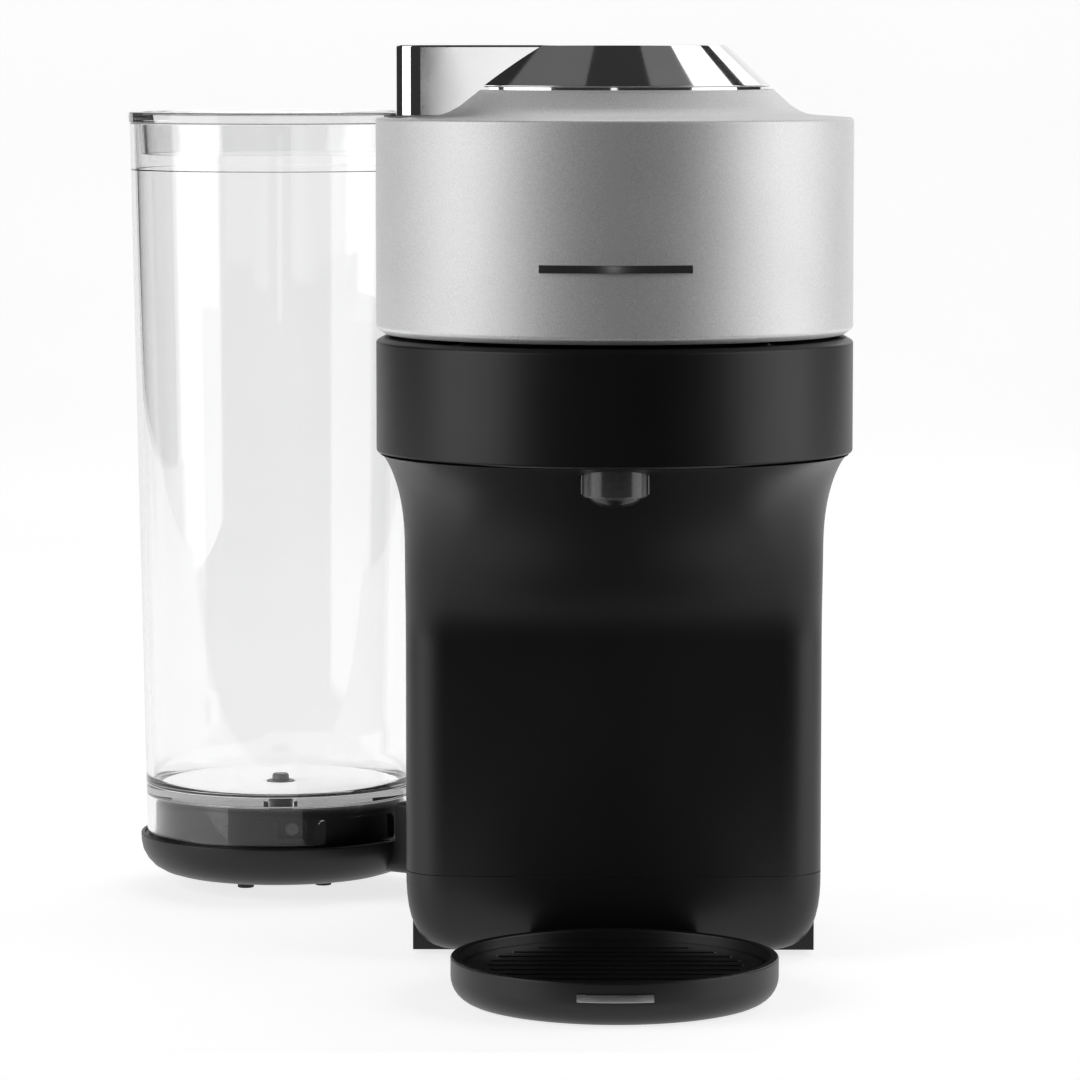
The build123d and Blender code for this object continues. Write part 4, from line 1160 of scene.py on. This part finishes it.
# ---------------------------------------------------------------- tank and its arm
@dataclass
class WaterTank:
    """Clear tank on its swivelling arm."""

    angle: float = 146.8
    wall: float = 2.4
    floor: float = 34.0
    floor_depth: float = 2.6
    draught: float = 4.3
    ledge: float = 15.2
    skirt_mid: float = 24.0
    beam_near: float = 1.0
    beam_width: float = 38.0
    post_width: float = 27.0
    ring_r: float = 63.4
    ring_bottom: float = 11.0
    dish_top: float = 18.0
    pedestal_r: float = 41.2
    pedestal_top: float = 30.0
    axis: Vector = field(init=False)

    def __post_init__(self) -> None:
        """Places the tank's axis in the middle of the dish."""
        low, high = span("water_tank")
        self.axis = (low + high) / 2 * MM

    def build(self) -> None:
        """Builds and dresses the tank, its lid, its valve and the arm."""
        self.jar()
        self.lid()
        self.valve()
        self.arm()

    def jar(self) -> None:
        """Clear jar: tapered wall, thick rounded floor, skirt, ledge and catches."""
        low, high = span("water_tank")
        base, rim = low.z, high.z
        rim_r = (high.x - low.x) / 2
        base_r = rim_r - self.draught
        taper = (rim_r - base_r) / (rim - base)
        step = rim - self.ledge
        step_r = base_r + taper * (step - base)
        floor_r = base_r + taper * (self.floor - base) - self.wall
        jar = Solid.turned(
            [
                Corner(base_r, base, 0.4),
                Corner(rim_r, rim, 0.4),
                Corner(rim_r - 1.5, rim, 0.3),
                Corner(step_r - 1.6, step, 0.2),
                Corner(step_r - self.wall, step, 0.3),
                Corner(floor_r, self.floor, 3.6),
                Corner(4.05, self.floor),
                Corner(4.05, self.floor - self.floor_depth),
                Corner(floor_r - 0.6, self.floor - self.floor_depth, 0.8),
                Corner(base_r - self.wall, base, 0.4),
            ],
            self.axis,
            192,
        )
        near = self.beam_near + 1.5
        arm_side = Solid.block((0, 20), (near - self.post_width - 3, near), (base - 1, base + 8.5))
        bmesh.ops.translate(arm_side.bm, verts=arm_side.bm.verts, vec=Vector((0.035, 0, 0)))
        arm_side.bevel([e for e in arm_side.along(0) if e.verts[0].co.z > self.skirt_mid * MM], 3.0, 5)
        arm_side.turn(self.angle - 180, Vector((0, 0, 0)))
        bmesh.ops.translate(
            arm_side.bm, verts=arm_side.bm.verts, vec=Vector((self.axis.x, self.axis.y, 0))
        )
        jar.cut(arm_side)
        glass = jar.piece("clear_jar", Finish.CLEAR_TANK, "tank", ["water_tank"], 30)
        glass.visible_shadow = False
        low, high = self.floor + 0.06, self.floor + 0.3
        flat_r = floor_r - 2.6
        plate = [Corner(5.0, low), Corner(flat_r, low), Corner(flat_r, high, 0.1), Corner(5.0, high)]
        # frosted floor plate with a painted glow (emission) standing in for light through the jar
        Solid.turned(plate, self.axis, 128).piece("frosted_floor_painted_glow", Finish.FROSTED_PAINTED_GLOW, "tank")

    def lid(self) -> None:
        """Clear lid: a flanged plate with a rim that reaches into the jar."""
        low, high = span("tank_lid")
        radius = (high.x - low.x) / 2
        top, under = high.z, high.z - 3.5
        plate = Solid.turned(
            [
                Corner(0, top - 0.9),
                Corner(44.0, top - 0.9, 0.5),
                Corner(45.2, top, 0.4),
                Corner(radius, top, 0.6),
                Corner(radius, under, 0.3),
                Corner(45.6, under, 0.3),
                Corner(45.0, low.z, 0.4),
                Corner(42.8, low.z, 0.4),
                Corner(43.4, top - 3.3, 0.6),
                Corner(0, top - 3.3),
            ],
            self.axis,
            192,
        )
        glass = plate.piece("clear_lid_plate", Finish.CLEAR_LID, "lid", ["tank_lid"], 30)
        glass.visible_shadow = False

    def valve(self) -> None:
        """Outlet valve in the tank's floor."""
        low, high = span("valve_plunger")
        Solid.turned(
            [
                Corner(0, low.z),
                Corner(1.85, low.z, 0.3),
                Corner(1.85, high.z - 2.4),
                Corner(2.8, high.z - 2.4, 0.2),
                Corner(2.8, high.z - 0.5, 0.5),
                Corner(2.3, high.z, 0.3),
                Corner(0, high.z),
            ],
            self.axis,
            64,
        ).piece("valve_stem", Finish.CLAMP_PLASTIC, "valve", ["valve_plunger"])
        low, high = span("valve_seat")
        Solid.turned(
            [
                Corner(1.9, low.z),
                Corner(4.0, low.z, 0.3),
                Corner(4.0, self.floor + 0.1),
                Corner(4.7, self.floor + 0.1, 0.1),
                Corner(4.5, high.z, 0.15),
                Corner(3.1, high.z, 0.1),
                Corner(3.1, self.floor - 2),
                Corner(1.9, self.floor - 2),
            ],
            self.axis,
            64,
        ).piece("valve_collar", Finish.CLAMP_PLASTIC, "tank", ["valve_seat"])

    def arm(self) -> None:
        """Arm: swivel ring, beam, dish and pedestal in one moulding."""
        pivot = Vector((0, SWIVEL_Y * MM, 0))
        radius, bottom, top = self.ring_r, self.ring_bottom, 24.0
        ring = [Corner(0, bottom), Corner(radius, bottom, 0.8), Corner(radius, top, 0.8), Corner(0, top)]
        arm = Solid.turned(ring, pivot, 192)
        near = SWIVEL_Y + self.beam_near
        beam = Solid.block((50, 130), (near - self.beam_width, near), (7.0, self.dish_top))
        beam.bevel([e for e in beam.along(0) if e.verts[0].co.z < self.dish_top * MM / 2], 4.0, 8)
        beam.bevel([e for e in beam.along(0) if e in beam.level(self.dish_top)], 0.5, 3)
        beam.turn(self.angle, pivot)
        beam.cut(Solid.rod((0, SWIVEL_Y, -5), (0, SWIVEL_Y, bottom), radius + 0.8, 192))
        post = Solid.block((64.6, 84.2), (near - self.post_width, near), (17.5, 31))
        post.bevel([e for e in post.bm.edges if min(v.co.z for v in e.verts) > 0.03], 2.0, 4)
        post.turn(self.angle, pivot)
        arm.fuse(beam, post)
        room = [Corner(47, 40), Corner(0, 40)]
        arm.cut(
            Solid.turned([Corner(0, self.dish_top), Corner(47, self.dish_top), *room], self.axis, 160),
            Solid.rod((0, SWIVEL_Y, 0), (0, SWIVEL_Y, 40), 44.4, 160),
        )
        bowl = [Corner(0, 4.3), Corner(30, 4.3), Corner(33, 4.35), Corner(36.2, 4.75), Corner(39.3, 5.7)]
        bowl += [Corner(42.2, 7.4), Corner(44.3, 9.7), Corner(45.7, 12.3), Corner(46.3, 15.0)]
        dish = Solid.turned(
            bowl
            + [
                Corner(46.4, self.dish_top, 0.5),
                Corner(45.2, self.dish_top, 0.3),
                Corner(44.9, 17.2),
                Corner(self.pedestal_r, 17.2, 0.4),
                Corner(self.pedestal_r, self.pedestal_top, 2.2),
                Corner(0, self.pedestal_top),
            ],
            self.axis,
            192,
        )
        arm.fuse(dish)
        x, y = self.axis.x / MM, self.axis.y / MM
        window = Solid.block((x + 1.35, x + 10.65), (y - 46, y - 38.4), (21, 27))
        window.bevel(window.along(1), 0.5, 3)
        arm.cut(window, Solid.rod((x, y, 24), (x, y, 40), 5.2))
        arm.piece("swivel_arm", Finish.BLACK_BODY, "arm", ["tank_arm"], 28)
        glides = Solid()
        for angle in (222, 342, 102):
            turn = math.radians(angle)
            spot = self.axis + Vector((0.015 * math.cos(turn), 0.015 * math.sin(turn), 0))
            pad = [Corner(0, 0), Corner(2.7, 0, 0.3), Corner(2.7, 4.5), Corner(0, 4.5)]
            glides.join(Solid.turned(pad, spot, 32))
        glides.piece("arm_glide_pads", Finish.RUBBER, "arm", ["arm_glides"])


@dataclass
class Rear:
    """Spent-pod bin and the hinge of the head."""

    half: float = COLUMN_HALF
    wall: float = 2.2
    scoop_z: float = 172.0

    def build(self) -> None:
        """Builds and dresses the rear."""
        self.bin()
        self.hinge()

    def prism(self, half: float, front: float, low: float, high: float) -> Solid:
        """Half-round prism that fills the bay."""
        ring = [Corner(0, low), Corner(half, low), Corner(half, high), Corner(0, high)]
        drum = Solid.turned(ring, Vector((0, SWIVEL_Y * MM, 0)), 160)
        drum.fuse(Solid.block((-half, half), (front, SWIVEL_Y), (low, high)))
        return drum.cut(Solid.block((-90, 90), (-50, front), (low - 5, high + 5)))

    def bin(self) -> None:
        """Bin with its lid and finger scoop."""
        low, high = span("pod_bin")
        front = low.y
        solid = self.prism(self.half, front, low.z, high.z)
        top = [
            e
            for e in solid.level(high.z)
            if e.calc_face_angle(0) > 1.2 and max(v.co.y for v in e.verts) > (front + 0.5) * MM
        ]
        solid.bevel(top, 3.0, 6)
        wall, y, z = self.wall, SWIVEL_Y + self.half + 5, self.scoop_z
        scoop = Solid.rod((-18, y, z), (18, y, z), 9)
        back = Solid.rod((-20, y, z), (20, y, z), 11)
        inside = self.prism(self.half - wall, front + wall, low.z + wall, high.z - wall)
        inside.cut(back)
        chute = Solid.block((-POD_WAY_HALF, POD_WAY_HALF), (80, 95), (156, 181))
        solid.cut(inside, scoop, chute)
        solid.piece("pod_bin_box", Finish.BLACK_BODY, "bin", ["pod_bin"], 28)

    def hinge(self) -> None:
        """Knuckles and bracket of the hinge, bored for its pin."""
        low, high = span("hinge_knuckles")
        radius, end = 6.3, 58.0
        y, z = (low.y + high.y) / 2, high.z - radius
        knuckles = Solid()
        for side in (-1, 1):
            near, far = sorted((side * 20.6, side * end))
            drum = Solid.rod((near, y, z), (far, y, z), radius, 64)
            leg = Solid.block((near, far), (y - 5.5, y + 5.5), (low.z, z))
            bores = [Solid.rod((-35, y, z), (35, y, z), 3.05), Solid.rod((34.4, y, z), (56.5, y, z), 5.2)]
            drum.fuse(leg)
            drum.cut(*bores)
            rim = [e for e in drum.bm.edges if all(abs(abs(v.co.x) - end * MM) < 1e-6 for v in e.verts)]
            drum.bevel(rim, 0.6, 3)
            knuckles.join(drum)
        knuckles.piece("hinge_barrels", Finish.BLACK_BODY, "body", ["hinge_knuckles"], 28)
        low, high = span("hinge_bracket")
        lug = Solid.rod((low.x, y, z), (high.x, y, z), radius, 64)
        lug.fuse(Solid.block((low.x, high.x), (52, y), (low.z + 6.4, high.z - 0.2)))
        lug.cut(Solid.rod((-30, y, z), (30, y, z), 3.02))
        lug.piece("hinge_lug", Finish.BLACK_BODY, "head", ["hinge_bracket"], 28)


class InnerWorks:
    """Working parts that keep their own shape and are dressed for the moments when they show."""

    def build(self) -> None:
        """Gives every CAD node that is still shown its finish."""
        slots = {entry["node"]: entry["material_slot"] for entry in frame["record"]["subparts"]}
        finishes = {finish.slot: finish for finish in Finish if finish is not Finish.FROSTED_PAINTED_GLOW}
        for name, node in frame["nodes"].items():
            finish = finishes[slots[name]]
            node.data.materials.clear()
            node.data.materials.append(finish.material())
            if not node.hide_render:
                LOG.info("%s: dressed in %s", name, finish.slot)


# ---------------------------------------------------------------- studio
@dataclass
class Softbox:
    """A rectangular studio light."""

    name: str
    place: tuple[float, float, float]
    aim: tuple[float, float, float]
    size: tuple[float, float]
    power: float

    def build(self) -> None:
        """Hangs the light and aims it."""
        light = bpy.data.lights.new(self.name, "AREA")
        light.shape = "RECTANGLE"
        light.size, light.size_y = self.size
        light.energy = self.power
        item = bpy.data.objects.new(self.name, light)
        bpy.context.scene.collection.objects.link(item)
        item.location = self.place
        item.rotation_euler = (Vector(self.aim) - Vector(self.place)).to_track_quat("-Z", "Y").to_euler()
        item.visible_camera = False


@dataclass
class Studio:
    """Pale floor and backdrop, soft side lights and the camera."""

    eye: tuple[float, float, float] = (-0.008, -1.5973, 0.2787)
    lens: float = 178.8
    yaw: float = 0.51
    pitch: float = -5.296
    reach: float = 1.5
    front_edge: float = -0.13
    room: float = 0.035

    def build(self) -> None:
        """Sets up floor, light and camera."""
        self.sweep()
        self.light()
        self.camera()

    def sweep(self) -> None:
        """Wide pale floor that curves up into a backdrop."""
        solid = Solid()
        path = [(self.front_edge, 0.0), (1.8, 0.0)]
        turns = (0.3, 0.6, 0.9, 1.2, math.pi / 2)
        path += [(1.8 + 0.6 * math.sin(a), 0.6 - 0.6 * math.cos(a)) for a in turns]
        path += [(2.4, 2.3)]
        verts = [solid.bm.verts.new((-self.reach, y, z)) for y, z in path]
        edges = [solid.bm.edges.new(pair) for pair in zip(verts, verts[1:])]
        made = bmesh.ops.extrude_edge_only(solid.bm, edges=edges)
        moved = [v for v in made["geom"] if isinstance(v, bmesh.types.BMVert)]
        bmesh.ops.translate(solid.bm, verts=moved, vec=(2 * self.reach, 0, 0))
        item = solid._object("studio_sweep")
        item.data.shade_smooth()
        item.data.materials.append(StudioPaper().build())

    def light(self) -> None:
        """Soft side lights, a card in front, a light behind the crown and a dim room."""
        Softbox("left_softbox", (-1.45, -0.5, 0.62), (0, 0, 0.2), (1.3, 1.5), 13.6).build()
        Softbox("right_softbox", (1.45, -0.2, 0.62), (0, 0, 0.2), (1.3, 1.5), 13.2).build()
        Softbox("front_card", (-0.03, -2.1, 0.25), (-0.03, 0, 0.27), (0.17, 0.2), 0.12).build()
        Softbox("right_rear_softbox", (0.85, 1.35, 0.8), (0, 0.05, 0.25), (0.5, 0.9), 1.6).build()
        Softbox("top_rear_softbox", (0.2, 0.85, 1.5), (0, 0.05, 0.25), (1.4, 0.6), 4.2).build()
        Softbox("top_right_softbox", (0.56, 0.3, 1.45), (0, 0.0, 0.27), (0.34, 0.7), 0.1).build()
        Softbox("top_left_softbox", (-0.56, 0.35, 1.4), (0, 0.0, 0.27), (0.4, 0.9), 0.12).build()
        world = bpy.data.worlds.new("room")
        world.use_nodes = True
        tree = world.node_tree
        path = tree.nodes.new("ShaderNodeLightPath")
        seen = tree.nodes.new("ShaderNodeMapRange")
        seen.inputs["To Min"].default_value = self.room
        seen.inputs["To Max"].default_value = 1.0
        tree.links.new(path.outputs["Is Camera Ray"], seen.inputs["Value"])
        tree.links.new(seen.outputs["Result"], tree.nodes["Background"].inputs["Strength"])
        tree.nodes["Background"].inputs["Color"].default_value = (1, 1, 1, 1)
        bpy.context.scene.world = world
        bpy.context.scene.view_settings.view_transform = "Standard"

    def camera(self) -> None:
        """Long lens at the height of the crown, aimed down at the tray."""
        data = bpy.data.cameras.new("camera")
        data.lens = self.lens
        data.sensor_width = 36
        data.clip_end = 50
        item = bpy.data.objects.new("camera", data)
        bpy.context.scene.collection.objects.link(item)
        item.location = self.eye
        item.rotation_euler = (math.radians(90 + self.pitch), 0, math.radians(self.yaw))
        bpy.context.scene.camera = item


def main() -> None:
    """Builds the machine, dresses it and sets the studio."""
    logging.basicConfig(level=logging.INFO, format="%(message)s")
    for part in (Studio(), BrewHead(), Column(), Spout(), DripTray(), WaterTank(), Rear(), InnerWorks()):
        LOG.info("-- %s", type(part).__name__)
        part.build()


if __name__ == "__main__":
    main()
